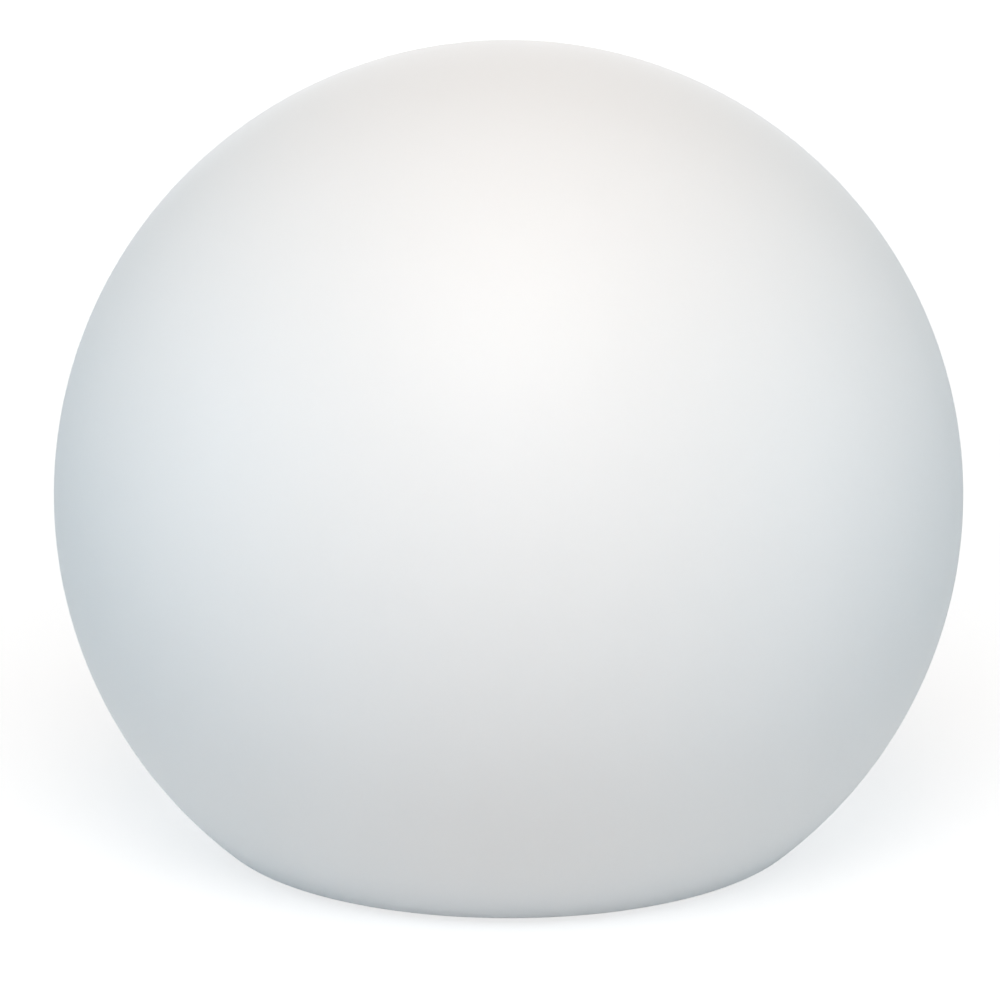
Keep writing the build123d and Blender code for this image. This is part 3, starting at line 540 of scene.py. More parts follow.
foam, place = new_finish("closed_cell_foam", {"Specular IOR Level": 0.2})
sockets = {"Vector": place, "Scale": CELLS_PER_METRE}
cells = place.node("ShaderNodeTexVoronoi", {"feature": "F1"}, sockets)
tone = grain(place, 0.004, 3)
coat(foam, {
    "Base Color": mixed(cells * 0.5 + tone * 0.5, (0.04, 0.04, 0.041), (0.085, 0.085, 0.085)),
    "Roughness": between(tone, 0.86, 0.98),
    "Normal": relief(cells, 0.00012),
}, nodes["collar_gasket"])

# ---- Screws ----
# Stainless screws with crossed slots: countersunk M4 in the collar, pan-head M3 in the module. Headed cold,
# so the metal shows fine scratches with slightly duller patches.
stainless, place = new_finish("stainless_steel", {})
scratch = grain(stretched(place, 1, 0.12, 1), 0.00025, 2, 0.7)
patch = grain(place, 0.002, 3)
screws = ("collar_screws", "tray_screws", "clamp_screws", "led_board_screws", "cover_screws")
coat(stainless, {
    "Base Color": mixed(patch, (0.6, 0.6, 0.59), (0.71, 0.71, 0.7)),
    "Metallic": between(patch, 0.96, 1),
    "Roughness": between(scratch * 0.6 + patch * 0.4, 0.2, 0.44),
    "Normal": relief(scratch, 0.00002),
}, *(nodes[name] for name in screws))

# ---- Module seal ----
# A flat ring of grey silicone in a groove of the module's flange. It is soft and slightly clear, and lint
# clings to it.
soft = {"IOR": 1.41, "Subsurface Weight": 0.2, "Subsurface Scale": 0.001}
silicone, place = new_finish("grey_silicone", soft)
lint = grain(stretched(place, 1, 1, 3), 0.0004, 4, 0.7)
haze = grain(place, 0.009, 3)
coat(silicone, {
    "Base Color": mixed(haze * 0.7 + lint * 0.3, (0.41, 0.42, 0.43), (0.5, 0.51, 0.52)),
    "Roughness": between(lint, 0.4, 0.7),
    "Normal": relief(lint, 0.00003),
}, nodes["module_seal"])

# ---- Tub of the module ----
# One moulding of light grey plastic with a spark-eroded grain and faint flow lines. The two finger scoops,
# the flange, the barrel and its lugs are all in it.
tub_plastic, place = new_finish("tub_plastic", {"IOR": 1.5, "Specular IOR Level": 0.4})
spark = grain(place, 0.0005, 4, 0.7)
flow = grain(place, 0.03, 3, 0.5, 0.6)
rub = grain(stretched(place, 1, 2.2, 1), 0.005, 4, 0.65)
coat(tub_plastic, {
    "Base Color": mixed(flow * 0.6 + rub * 0.4, (0.765, 0.775, 0.775), (0.83, 0.84, 0.84)),
    "Roughness": between(spark * 0.5 + rub * 0.5, 0.44, 0.68),
    "Normal": relief(spark, 0.00006),
}, nodes["module_base"])

# ---- Marks and ribs of the tub ----
# Raised in the moulding and printed in grey: two arrows that show which way the module turns to open, the
# pointer beside the padlocks, a flash beside the charging lamp and the polarity of the socket. Plain ribs
# stand on the walls of the finger scoops.
underside_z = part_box("module_base")[0].z
MARK_LOW = underside_z - 0.00035
MARK_HIGH = underside_z + 0.0002
ARROW_CIRCLE = 0.0725
ARROW_HALF = 0.0009
BARB_HALF = 0.0032
ARROW_TAIL, ARROW_NECK, ARROW_TIP = 24, -17, -24
POINTER_REACH = 0.0824
POINTER_HALF = 0.0018
POINTER_LENGTH = 0.0045
SIGN_X = 0.0545
SIGN_Y = 0.0052
SIGN_RADIUS = 0.0013
SIGN_HALF = 0.0007
SIGN_LINE = 0.0003
CONTACT_RADIUS = 0.0016
PIN_RADIUS = 0.0006
WIRE_START, WIRE_END = 0.0004, 0.004
tub_marks = []


def raise_mark(points, sunk=0):
    """One raised mark on the underside. A line that runs into another mark is sunk a little below it."""
    tub_marks.append(drawn(points, MARK_LOW + sunk, MARK_HIGH))


for middle in (0, 180):
    tail, neck, tip = middle + ARROW_TAIL, middle + ARROW_NECK, middle + ARROW_TIP
    points = arc((0, 0), ARROW_CIRCLE + ARROW_HALF, tail, neck, 30)
    for side, turn in ((1, neck), (0, tip), (-1, neck)):
        points += arc((0, 0), ARROW_CIRCLE + side * BARB_HALF, turn, turn, 1)[:1]
    raise_mark(points + arc((0, 0), ARROW_CIRCLE - ARROW_HALF, neck, tail, 30))
pointer = [(-POINTER_HALF, -POINTER_LENGTH), (POINTER_HALF, -POINTER_LENGTH), (0, 0)]
raise_mark(turned_about(pointer, LOCKED_TURN, POINTER_REACH))
flash = [(-0.0196, 0.0034), (-0.0221, 0.0066), (-0.0206, 0.0066), (-0.0216, 0.0094)]
raise_mark(flash + [(-0.0187, 0.0056), (-0.0203, 0.0056)])
for y in (-SIGN_Y, SIGN_Y):
    raise_mark(band((SIGN_X, y), SIGN_RADIUS, SIGN_LINE, 0, 359.8, 36))
    raise_mark(bar((SIGN_X - SIGN_HALF, y), (SIGN_X + SIGN_HALF, y), SIGN_LINE))
raise_mark(bar((SIGN_X, SIGN_Y - SIGN_HALF), (SIGN_X, SIGN_Y + SIGN_HALF), SIGN_LINE), MARK_STEP)
raise_mark(bar((SIGN_X, -WIRE_END), (SIGN_X, -CONTACT_RADIUS), SIGN_LINE), MARK_STEP)
raise_mark(band((SIGN_X, 0), CONTACT_RADIUS, SIGN_LINE, -220, -60))
raise_mark(arc((SIGN_X, 0), PIN_RADIUS, 0, 345, 23))
raise_mark(bar((SIGN_X, WIRE_START), (SIGN_X, WIRE_END), SIGN_LINE), MARK_STEP)
marks = join(tub_marks, "tub_marks")

mark_ink, place = new_finish("mark_ink", {"IOR": 1.5, "Specular IOR Level": 0.35})
screen = grain(place, 0.0003, 3, 0.6)
worn = between(grain(place, 0.0025, 4, 0.65), 0, 1, 0.62, 0.74)
coat(mark_ink, {
    "Base Color": mixed(worn, (0.235, 0.245, 0.255), (0.62, 0.63, 0.63)),
    "Roughness": between(screen * 0.5 + worn * 0.5, 0.42, 0.66),
    "Normal": relief(screen, 0.00003),
}, marks)
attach(marks, "module")

GRIP_HALF = 0.011
GRIP_DRAFT = math.radians(6)
RIB_LOW = underside_z + 0.0014
RIB_HIGH = underside_z + 0.0066
RIB_RADIUS = 0.0006
RIB_PITCH = 0.0038
rib_z = (RIB_LOW + RIB_HIGH) / 2
rib_y = GRIP_HALF + math.tan(GRIP_DRAFT) * (rib_z - underside_z)
ribs = []
for side in (-1, 1):
    for step in range(-5, 6):
        pick()
        bpy.ops.mesh.primitive_cylinder_add(
            vertices=12,
            radius=RIB_RADIUS,
            depth=RIB_HIGH - RIB_LOW,
            location=(step * RIB_PITCH, side * rib_y, rib_z),
            rotation=(-side * GRIP_DRAFT, 0, 0),
        )
        ribs.append(bpy.context.object)
        bpy.ops.object.transform_apply()
        edit(ribs[-1])
        bpy.ops.mesh.bevel(offset=0.0002, segments=2, affect="EDGES")
grip_ribs = join(ribs, "grip_ribs")
smooth(grip_ribs, 50)
coat(tub_plastic, {}, grip_ribs)
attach(grip_ribs, "module")

# ---- Power button ----
# A satin grey button with a shallow dish in its face, kept in the floor by its flange, with a stem up to the
# switch. The power symbol is raised in the dish.
button_low, button_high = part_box("power_button")
ring_z = sum(corner.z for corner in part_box("button_seal")) / 2
BUTTON_PLACE = (-0.04, 0)
BUTTON_RADIUS = 0.006
BUTTON_ROUND = 0.00022
BUTTON_STEM = 0.002
BUTTON_FLANGE = 0.0074
FLANGE_LOW = 0.00655
FLANGE_HIGH = 0.00775
RING_CIRCLE = 0.0056
RING_LINE = 0.00075
GROOVE_MOUTH = 57.8
SYMBOL_RADIUS = 0.0026
SYMBOL_LINE = 0.0005
STROKE_HIGH, STROKE_LOW = -0.0012, -0.0034
SYMBOL_RISE, SYMBOL_ROOT = 0.00004, 0.0003
PRINT_REACH = 0.0036
PRINT_RISE = 0.00008
face_z = button_low.z
outline = [(BUTTON_STEM - 0.0004, button_high.z), (BUTTON_STEM, button_high.z - 0.0004)]
outline += [(BUTTON_STEM, FLANGE_HIGH), (BUTTON_FLANGE, FLANGE_HIGH)]
outline += [(BUTTON_FLANGE, FLANGE_LOW), (BUTTON_RADIUS, FLANGE_LOW)]
outline += arc((RING_CIRCLE, ring_z), RING_LINE, GROOVE_MOUTH, 360 - GROOVE_MOUTH, 14)
outline += arc((BUTTON_RADIUS - BUTTON_ROUND, face_z + BUTTON_ROUND), BUTTON_ROUND, 0, -90, 5)
outline += [(0.0052, face_z), (0.0042, face_z + 0.00005), (0.0034, face_z + 0.00011)]
outline += [(0.0024, face_z + 0.00016), (0.0014, face_z + 0.00019), (TIP_RADIUS, face_z + 0.0002)]
button_parts = [turned(outline, 96)]
symbol = [band((0, 0), SYMBOL_RADIUS, SYMBOL_LINE, -55, 235, 48)]
symbol.append(bar((0, STROKE_HIGH), (0, STROKE_LOW), SYMBOL_LINE))
button_parts += [drawn(shape, face_z + SYMBOL_RISE, face_z + SYMBOL_ROOT) for shape in symbol]
button = copies(join(button_parts, "button"), [(*BUTTON_PLACE, 0)], "power_button_moulded")
smooth(button, 35)


def flat_distance(place, x, y):
    """Distance in metres from an upright line, and from its mirror images in X and Y."""
    across = abs(part_of(place, 0)) - x
    along = abs(part_of(place, 1)) - y
    return (across * across + along * along).math("SQRT")


button_plastic, place = new_finish("button_plastic", {"IOR": 1.5, "Specular IOR Level": 0.45})
fine = grain(place, 0.0004, 3, 0.6)
rub = grain(place, 0.003, 4, 0.6)
reach = flat_distance(place, -BUTTON_PLACE[0], 0)
printed = (reach < PRINT_REACH) * (part_of(place, 2) < face_z + PRINT_RISE)
grey = mixed(rub, (0.335, 0.345, 0.355), (0.39, 0.4, 0.41))
coat(button_plastic, {
    "Base Color": mixed(printed, grey, (0.8, 0.81, 0.81)),
    "Roughness": between(rub * 0.5 + fine * 0.5, 0.34, 0.56),
    "Normal": relief(fine, 0.00003),
}, button)
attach(button, "power_button")
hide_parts("power_button")

# ---- Rubber ring and cover gasket ----
# Black rubber with a dull bloom: the small round ring that seals the button in its hole, and the flat gasket
# under the cover.
black_rubber, place = new_finish("black_rubber", {"IOR": 1.52, "Specular IOR Level": 0.35})
fine = grain(place, 0.0005, 3, 0.6)
bloom = grain(place, 0.004, 4, 0.6)
coat(black_rubber, {
    "Base Color": mixed(bloom, (0.035, 0.035, 0.036), (0.07, 0.07, 0.07)),
    "Roughness": between(fine * 0.4 + bloom * 0.6, 0.5, 0.8),
    "Normal": relief(fine, 0.00004),
}, nodes["button_seal"], nodes["cover_gasket"])

# ---- Charging cap and its strap ----
# One moulding of dark rubber: the cap with its hollow plug, a tab for the fingernail, and a strap to the
# anchor that is pushed through the floor. It bends about its middle when the cap is open, but is made
# straight here.
cap_low, cap_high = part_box("charge_cap")
anchor_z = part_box("cap_strap")[1].z
CAP_PLACE = (0.04, 0)
ANCHOR_Y = 0.018
CAP_Z = cap_low.z
CAP_TOP = CAP_Z + 0.0018
CAP_RADIUS = 0.0065
CAP_RIM_ROUND = 0.0004
CAP_FACE_ROUND = 0.0005
RIM_LINE = 0.00018
PLUG_BORE = 0.0015
PLUG_RADIUS = 0.0023
ANCHOR_STEM = 0.0013
ANCHOR_BARB = 0.0022
ANCHOR_FOOT = 0.0032
STRAP_TOP = CAP_Z + 0.0012
STRAP_WIDTH = 0.005
STRAP_THICKNESS = 0.0011
STRAP_MIDDLE_Z = CAP_Z + 0.00063
STRAP_START = 0.0045
STRAP_END = ANCHOR_Y - 0.0015
STRAP_STEPS = 26
TAB_HALF = 0.003
TAB_ROUND = 0.002
TAB_START = -0.004
TAB_END = -0.011
TAB_RIB_HALF = 0.0017
TAB_RIB_LINE = 0.0004
TAB_RIB_PLACES = (-0.0077, -0.0087, -0.0097)
plug_z = cap_high.z
outline = [(PLUG_BORE, CAP_TOP), (PLUG_BORE, plug_z - 0.0002), (0.0017, plug_z), (0.00205, plug_z)]
outline += [(PLUG_RADIUS, plug_z - 0.0003), (PLUG_RADIUS, plug_z - 0.0008), (0.0022, plug_z - 0.0011)]
outline += [(PLUG_RADIUS, CAP_TOP + 0.0003), (0.0025, CAP_TOP), (CAP_RADIUS - CAP_RIM_ROUND, CAP_TOP)]
outline += arc((CAP_RADIUS - CAP_RIM_ROUND, CAP_TOP - CAP_RIM_ROUND), CAP_RIM_ROUND, 90, 0, 4)
outline += arc((CAP_RADIUS - CAP_FACE_ROUND, CAP_Z + CAP_FACE_ROUND), CAP_FACE_ROUND, 0, -90, 4)
outline += [(0.0051, CAP_Z), (0.0049, CAP_Z + RIM_LINE), (0.0043, CAP_Z + RIM_LINE), (0.0041, CAP_Z)]
cap_disc = turned([*outline, (0.0006, CAP_Z)], 96)
outline = [(TIP_RADIUS, anchor_z), (ANCHOR_STEM, anchor_z - 0.0001), (ANCHOR_BARB, anchor_z - 0.0019)]
outline += [(ANCHOR_BARB, anchor_z - 0.002), (ANCHOR_STEM, anchor_z - 0.00205)]
outline += [(ANCHOR_STEM, STRAP_TOP), (ANCHOR_FOOT - 0.0003, STRAP_TOP)]
outline += arc((ANCHOR_FOOT - 0.0003, STRAP_TOP - 0.0003), 0.0003, 90, 0, 3)
outline += arc((ANCHOR_FOOT - 0.0004, CAP_Z + 0.0004), 0.0004, 0, -90, 4)
anchor = copies(turned([*outline, (0.0004, CAP_Z)], 64), [(0, ANCHOR_Y, 0)], "anchor")

pick()
bpy.ops.mesh.primitive_plane_add(size=1, location=(0, 0, 0))
strap = bpy.context.object
edit(strap)
bpy.ops.transform.rotate(value=math.radians(90), orient_axis="X", center_override=(0, 0, 0))
bpy.ops.transform.resize(value=(STRAP_WIDTH, 1, STRAP_THICKNESS))
bpy.ops.transform.translate(value=(0, STRAP_START, STRAP_MIDDLE_Z))
for step in range(STRAP_STEPS):
    extrude(0, (STRAP_END - STRAP_START) / STRAP_STEPS, 0)
outward(strap)
modify(strap, "BEVEL", width=0.00025, segments=2, limit_method="ANGLE")

corner = TAB_HALF - TAB_ROUND
points = [(-TAB_HALF, TAB_START), (TAB_HALF, TAB_START)]
points += arc((corner, TAB_END + TAB_ROUND), TAB_ROUND, 0, -90, 8)
points += arc((-corner, TAB_END + TAB_ROUND), TAB_ROUND, -90, -180, 8)
tab = drawn(points, CAP_Z + 0.0001, CAP_TOP - 0.00015)
modify(tab, "BEVEL", width=0.0003, segments=3, limit_method="ANGLE")
cap_parts = [cap_disc, anchor, strap, tab]
for y in TAB_RIB_PLACES:
    points = bar((-TAB_RIB_HALF, y), (TAB_RIB_HALF, y), TAB_RIB_LINE)
    cap_parts.append(drawn(points, CAP_Z - 0.00015, CAP_Z + 0.0004))
cap = copies(join(cap_parts, "cap"), [(*CAP_PLACE, 0)], "charging_cap")
smooth(cap, 35)

cap_rubber, place = new_finish("cap_rubber", {"IOR": 1.52, "Specular IOR Level": 0.35})
fine = grain(place, 0.0004, 3, 0.6)
dust = grain(place, 0.003, 4, 0.6)
coat(cap_rubber, {
    "Base Color": mixed(dust, (0.14, 0.145, 0.15), (0.19, 0.195, 0.2)),
    "Roughness": between(fine * 0.4 + dust * 0.6, 0.6, 0.86),
    "Normal": relief(fine, 0.00004),
}, cap)
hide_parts("charge_cap", "cap_strap")
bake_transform(cap)

# ---- Charging lamp ----
# A polished clear rod with a flange on the floor of the tub carries the light of a small lamp under the
# circuit board to the underside.
clear_rod, place = new_finish("clear_rod", {"Transmission Weight": 0.45, "IOR": 1.49})
haze = grain(place, 0.0012, 3, 0.6)
turning = bands(place, "Z", 0.0005, 1.0)
coat(clear_rod, {
    "Base Color": mixed(haze, (0.88, 0.91, 0.92), (0.93, 0.94, 0.95)),
    "Roughness": between(haze * 0.7 + turning * 0.3, 0.03, 0.16),
    "Normal": relief(turning, 0.00001),
}, nodes["light_pipe"])

LENS_HALF = 0.0012
lamp_x = sum(corner.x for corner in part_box("indicator_led")) / 2
lamp_lens, place = new_finish("lamp_lens", {"IOR": 1.52, "Coat Roughness": 0.1})
tinned = abs(part_of(place, 0) - lamp_x) > LENS_HALF
cloud = grain(place, 0.0006, 3)
coat(lamp_lens, {
    "Base Color": mixed(tinned, (0.87, 0.85, 0.68), (0.66, 0.66, 0.65)),
    "Metallic": tinned * 0.95,
    "Roughness": between(cloud, 0.16, 0.38),
    "Coat Weight": 0.6 - tinned * 0.6,
}, nodes["indicator_led"])

# ---- Circuit board ----
# A round board of glass-fibre laminate, 1.6 mm thick, under green solder resist: copper traces that show as
# a paler relief, tinned vias, and a bare tinned ring round each post hole.
POST_SIDE = 0.0297
POST_RING = 0.0031
DISTRICT = 0.012
TRACK_PITCH = 0.0009
VIA_PITCH = 0.0046
CLOTH_PITCH = 0.0005


def facing_up(place):
    """1 on faces that look up or down, 0 on the sides."""
    return abs(part_of(place.node("ShaderNodeNewGeometry", {}, {}, "Normal"), 2)) > 0.7


def run_of_tracks(place, turn):
    """Copper tracks that run at this turn and step aside now and then."""
    facing = place.node("ShaderNodeMapping", {}, {"Vector": place, "Rotation": (0, 0, math.radians(turn))})
    settings = {"offset": 0.35, "offset_frequency": 2, "squash": 0.6, "squash_frequency": 3}
    sockets = {"Vector": facing, "Scale": 1, "Mortar Size": 0.00014, "Mortar Smooth": 0.1}
    sockets.update({"Brick Width": 0.007, "Row Height": TRACK_PITCH})
    return place.node("ShaderNodeTexBrick", settings, sockets, 1)


green_board, place = new_finish("green_board", {"IOR": 1.52, "Coat Roughness": 0.12})
top = facing_up(place)
flat = stretched(place, 1, 1, 0)
sockets = {"Vector": flat, "Scale": 1 / DISTRICT}
district = place.node("ShaderNodeTexVoronoi", {"feature": "F1", "distance": "CHEBYCHEV"}, sockets, 1)
across = part_of(district, 0) > 0.5
track = run_of_tracks(flat, 0) * (1 - across) + run_of_tracks(flat, 90) * across
dots = place.node("ShaderNodeTexVoronoi", {"feature": "F1"}, {"Vector": flat, "Scale": 1 / VIA_PITCH})
# The via holes are painted near black: painted shade standing in for holes that the mesh does not have.
via_hole_painted_shade = dots < 0.04
ring = flat_distance(place, POST_SIDE, POST_SIDE) < POST_RING
tinned = (dots < 0.09).math("MAXIMUM", ring) * top
cloth = bands(place, "X", CLOTH_PITCH) * bands(place, "Y", CLOTH_PITCH)
resist = mixed(track, (0.035, 0.2, 0.095), (0.07, 0.31, 0.155))
laminate = mixed(cloth, (0.42, 0.4, 0.22), (0.5, 0.47, 0.28))
colour = mixed(tinned, mixed(top, laminate, resist), (0.66, 0.65, 0.62))
coat(green_board, {
    "Base Color": mixed(via_hole_painted_shade * top, colour, (0.02, 0.02, 0.02)),
    "Metallic": tinned * (0.95 - via_hole_painted_shade * 0.95),
    "Roughness": between(cloth, 0.2, 0.4),
    "Coat Weight": top * 0.5 - tinned * 0.5,
    "Normal": relief(track * 0.8 + cloth * 0.2 - via_hole_painted_shade, 0.00004),
}, nodes["control_board"])

# ---- Chips, switch, receiver and socket ----
# Black epoxy packages with tinned legs along two sides and a dot at the first leg. The push switch is a
# black body under a bright frame, the receiver is dark violet and the charging socket has a nickel pin.
board_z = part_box("control_board")[1].z
LEG_PITCH = 0.00127
LEG_RISE = 0.0006
DOT_SIDE = 0.0165
DOT_RADIUS = 0.0005
FRAME_RISE = 0.0012
PIN_REACH = 0.00112

epoxy, place = new_finish("black_epoxy", {"IOR": 1.55, "Specular IOR Level": 0.45})
run = bands(place, "X", LEG_PITCH).math("MAXIMUM", bands(place, "Y", LEG_PITCH))
leg = (1 - facing_up(place)) * (part_of(place, 2) < board_z + LEG_RISE) * (run > 0.6)
dot = (flat_distance(place, DOT_SIDE, DOT_SIDE) < DOT_RADIUS) * facing_up(place)
flour = grain(place, 0.00025, 3, 0.6)
body = mixed(flour, (0.035, 0.035, 0.038), (0.065, 0.065, 0.07))
coat(epoxy, {
    "Base Color": mixed(leg, mixed(dot, body, (0.28, 0.28, 0.28)), (0.68, 0.67, 0.65)),
    "Metallic": leg,
    "Roughness": between(flour, 0.4, 0.66) - leg * 0.2,
    "Normal": relief(flour - dot, 0.00004),
}, nodes["control_chips"])

switch_finish, place = new_finish("switch_body", {"IOR": 1.5})
frame_band = part_of(place, 2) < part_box("tact_switch")[0].z + FRAME_RISE
scrape = grain(stretched(place, 1, 6, 1), 0.001, 3, 0.6)
coat(switch_finish, {
    "Base Color": mixed(frame_band, (0.05, 0.05, 0.055), (0.64, 0.64, 0.63)),
    "Metallic": frame_band,
    "Roughness": between(scrape, 0.26, 0.5),
    "Normal": relief(scrape, 0.00002),
}, nodes["tact_switch"])

receiver_finish, place = new_finish("receiver_epoxy", {"IOR": 1.56, "Coat Roughness": 0.08})
swirl = grain(place, 0.0015, 3, 0.5, 1.0)
coat(receiver_finish, {
    "Base Color": mixed(swirl, (0.03, 0.022, 0.05), (0.07, 0.05, 0.1)),
    "Roughness": between(swirl, 0.1, 0.3),
    "Coat Weight": between(swirl, 0.3, 0.7),
}, nodes["remote_receiver"])

socket_finish, place = new_finish("socket_body", {"IOR": 1.52, "Specular IOR Level": 0.45})
pin = flat_distance(place, CAP_PLACE[0], 0) < PIN_REACH
glass_grain = grain(stretched(place, 1, 1, 0.3), 0.0006, 3, 0.6)
black = mixed(glass_grain, (0.04, 0.04, 0.044), (0.08, 0.08, 0.085))
coat(socket_finish, {
    "Base Color": mixed(pin, black, (0.72, 0.7, 0.66)),
    "Metallic": pin,
    "Roughness": between(glass_grain, 0.38, 0.6) - pin * 0.18,
    "Normal": relief(glass_grain, 0.00003),
}, nodes["charge_socket"])

# ---- Choke and capacitors ----
# The choke is a sintered ferrite block with its winding under a round core. The capacitors are aluminium
# cans in a dark sleeve with a pale stripe, and their tops are scored with a cross so that they can vent.
TERMINAL_RISE = 0.0007
SLEEVE_EDGE = 0.0004
STRIPE_Y = -0.0022
SCORE_HALF = 0.00016

ferrite, place = new_finish("ferrite", {"IOR": 1.6})
sinter = grain(place, 0.0003, 4, 0.7)
terminal = (part_of(place, 2) < board_z + TERMINAL_RISE) * (1 - facing_up(place))
pit = grain(place, 0.0011, 3, 0.6)
dark = mixed(sinter, (0.12, 0.12, 0.125), (0.21, 0.21, 0.22))
coat(ferrite, {
    "Base Color": mixed(terminal, dark, (0.68, 0.67, 0.65)),
    "Metallic": terminal,
    "Roughness": between(sinter * 0.5 + pit * 0.5, 0.48, 0.8),
    "Normal": relief(sinter * 0.6 + pit * 0.4, 0.00006),
}, nodes["power_coil"])

can, place = new_finish("capacitor_can", {"IOR": 1.5})
can_low, can_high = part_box("capacitors")
across = abs(part_of(place, 0)) - (can_high.x - can_low.x) / 4
along = part_of(place, 1) - (can_low.y + can_high.y) / 2
sleeve = part_of(place, 2) < can_high.z - SLEEVE_EDGE
stripe = (along < STRIPE_Y) * sleeve
score = (abs(across).math("MINIMUM", abs(along)) < SCORE_HALF) * (1 - sleeve)
spun = grain(place, 0.0008, 3, 0.6)
paint = mixed(stripe, (0.03, 0.04, 0.09), (0.62, 0.66, 0.7))
metal = mixed(spun, (0.7, 0.71, 0.73), (0.79, 0.8, 0.82))
coat(can, {
    "Base Color": mixed(sleeve, metal, paint),
    "Metallic": 1 - sleeve,
    "Roughness": between(spun, 0.24, 0.42),
    "Normal": relief(spun * 0.1 - score, 0.00012),
}, nodes["capacitors"])

# ---- Plug sockets and the switch's plunger ----
# Natural nylon, slightly yellow and waxy: the sockets have a slot for each lead. The plunger is smooth white
# acetal.
SLOT_PITCH_X = 0.0022
SLOT_PITCH_Y = 0.0032

waxy = {"IOR": 1.53, "Subsurface Weight": 0.15, "Subsurface Scale": 0.001}
natural_nylon, place = new_finish("natural_nylon", waxy)
# Each lead slot is painted dark brown: painted shade standing in for openings that the mesh does not have.
slot = (bands(place, "X", SLOT_PITCH_X) * bands(place, "Y", SLOT_PITCH_Y) > 0.7) * facing_up(place)
wax = grain(place, 0.0018, 3)
cream = mixed(wax, (0.83, 0.81, 0.74), (0.89, 0.87, 0.82))
coat(natural_nylon, {
    "Base Color": mixed(slot, cream, (0.16, 0.15, 0.13)),
    "Roughness": between(wax, 0.36, 0.56),
    "Normal": relief(wax * 0.1 - slot, 0.0002),
}, nodes["board_sockets"])

acetal, place = new_finish("white_acetal", {"IOR": 1.48})
rub = grain(place, 0.0006, 3)
coat(acetal, {
    "Base Color": mixed(rub, (0.82, 0.82, 0.81), (0.88, 0.88, 0.87)),
    "Roughness": between(rub, 0.26, 0.44),
}, nodes["switch_plunger"])

# ---- Battery tray and clamp ----
# Both moulded in black plastic with a fine grain and faint flow marks. The tray sits on the spacers, and the
# clamp is screwed down over the cells.
black_plastic, place = new_finish("black_plastic", {"IOR": 1.5, "Specular IOR Level": 0.4})
spark = grain(place, 0.0004, 4, 0.7)
flow = grain(place, 0.018, 3, 0.5, 0.8)
coat(black_plastic, {
    "Base Color": mixed(flow * 0.7 + spark * 0.3, (0.05, 0.05, 0.054), (0.09, 0.09, 0.096)),
    "Roughness": between(spark * 0.6 + flow * 0.4, 0.42, 0.68),
    "Normal": relief(spark, 0.00005),
}, nodes["battery_tray"], nodes["battery_clamp"])

# ---- Battery cells ----
# Two steel cans in a blue shrink sleeve that folds over their ends. A white insulator ring lies round the
# raised nickel cap at the positive end, where the sleeve has a plus, and a seam runs along the sleeve.
CELL_END = 0.0326
SLEEVE_FOLD = 0.0001
FOLD_RADIUS = 0.0072
NICKEL_RADIUS = 0.0043
PLUS_X = 0.026
PLUS_HALF = 0.0018
PLUS_LINE_HALF = 0.0004
SEAM_HALF = 0.0003
SEAM_FALL = 0.002
cells_low, cells_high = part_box("battery_cells")
cell_y = cells_high.y - (cells_high.z - cells_low.z) / 2


def rectangle(x, y, half_x, half_y):
    """1 within these distances of the middle of a rectangle."""
    return (abs(y) < half_y) * (abs(x) < half_x)


cell_sleeve, place = new_finish("cell_sleeve", {"IOR": 1.53, "Coat Roughness": 0.12})
along = part_of(place, 0)
across = abs(part_of(place, 1)) - cell_y
rise = part_of(place, 2) - (cells_low.z + cells_high.z) / 2
reach = (across * across + rise * rise).math("SQRT")
at_end = abs(along) > CELL_END - SLEEVE_FOLD
bare = at_end * (reach < FOLD_RADIUS)
insulator = bare * (along > 0) * (reach > NICKEL_RADIUS)
plus = rectangle(along - PLUS_X, across, PLUS_HALF, PLUS_LINE_HALF)
plus = plus.math("MAXIMUM", rectangle(along - PLUS_X, across, PLUS_LINE_HALF, PLUS_HALF)) * (rise > 0.005)
seam = (abs(rise + SEAM_FALL) < SEAM_HALF) * (1 - at_end)
crease = grain(stretched(place, 0.35, 1, 1), 0.004, 3, 0.6)
blue = mixed(crease, (0.07, 0.21, 0.4), (0.12, 0.29, 0.5))
blue = mixed(plus, blue, (0.84, 0.85, 0.86))
ends = mixed(insulator, (0.68, 0.67, 0.64), (0.85, 0.84, 0.8))
coat(cell_sleeve, {
    "Base Color": mixed(bare, blue, ends),
    "Metallic": (bare - insulator) * 0.98,
    "Roughness": between(crease, 0.18, 0.36),
    "Coat Weight": 0.5 - bare * 0.5,
    "Normal": relief(crease * 0.5 - seam * 0.5, 0.00008),
}, nodes["battery_cells"])

# ---- Battery tabs ----
# Strips of nickel, 0.3 mm thick, that join the two cells at their ends. Each is spot-welded on, which leaves
# pairs of small dimples.
WELD_SPREAD = 0.0012
WELD_RADIUS = 0.0006
tabs_z = sum(corner.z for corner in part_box("battery_tabs")) / 2

nickel, place = new_finish("nickel_strip", {})
weld_y = abs(abs(part_of(place, 1)) - cell_y) - WELD_SPREAD
rise = part_of(place, 2) - tabs_z
weld = (weld_y * weld_y + rise * rise).math("SQRT") < WELD_RADIUS
rolled = grain(stretched(place, 1, 0.15, 1), 0.0003, 2, 0.7)
coat(nickel, {
    "Base Color": mixed(weld, (0.7, 0.69, 0.66), (0.46, 0.43, 0.38)),
    "Metallic": between(rolled, 0.97, 1),
    "Roughness": between(rolled, 0.22, 0.4),
    "Normal": relief(rolled * 0.1 - weld, 0.0001),
}, nodes["battery_tabs"])

# ---- Leads ----
# Fine stranded wire in PVC: black along the valley between the cells, red at the near tab, and four white
# leads with thin coloured tracers up to the LED board.
PVC = {"IOR": 1.53, "Coat Roughness": 0.15}
RED_SIDE_Y = 0.0016
PAIR_SPREAD = 0.0022
LEAD_SPREAD = 0.0011
TRACER_REACH = 0.00042

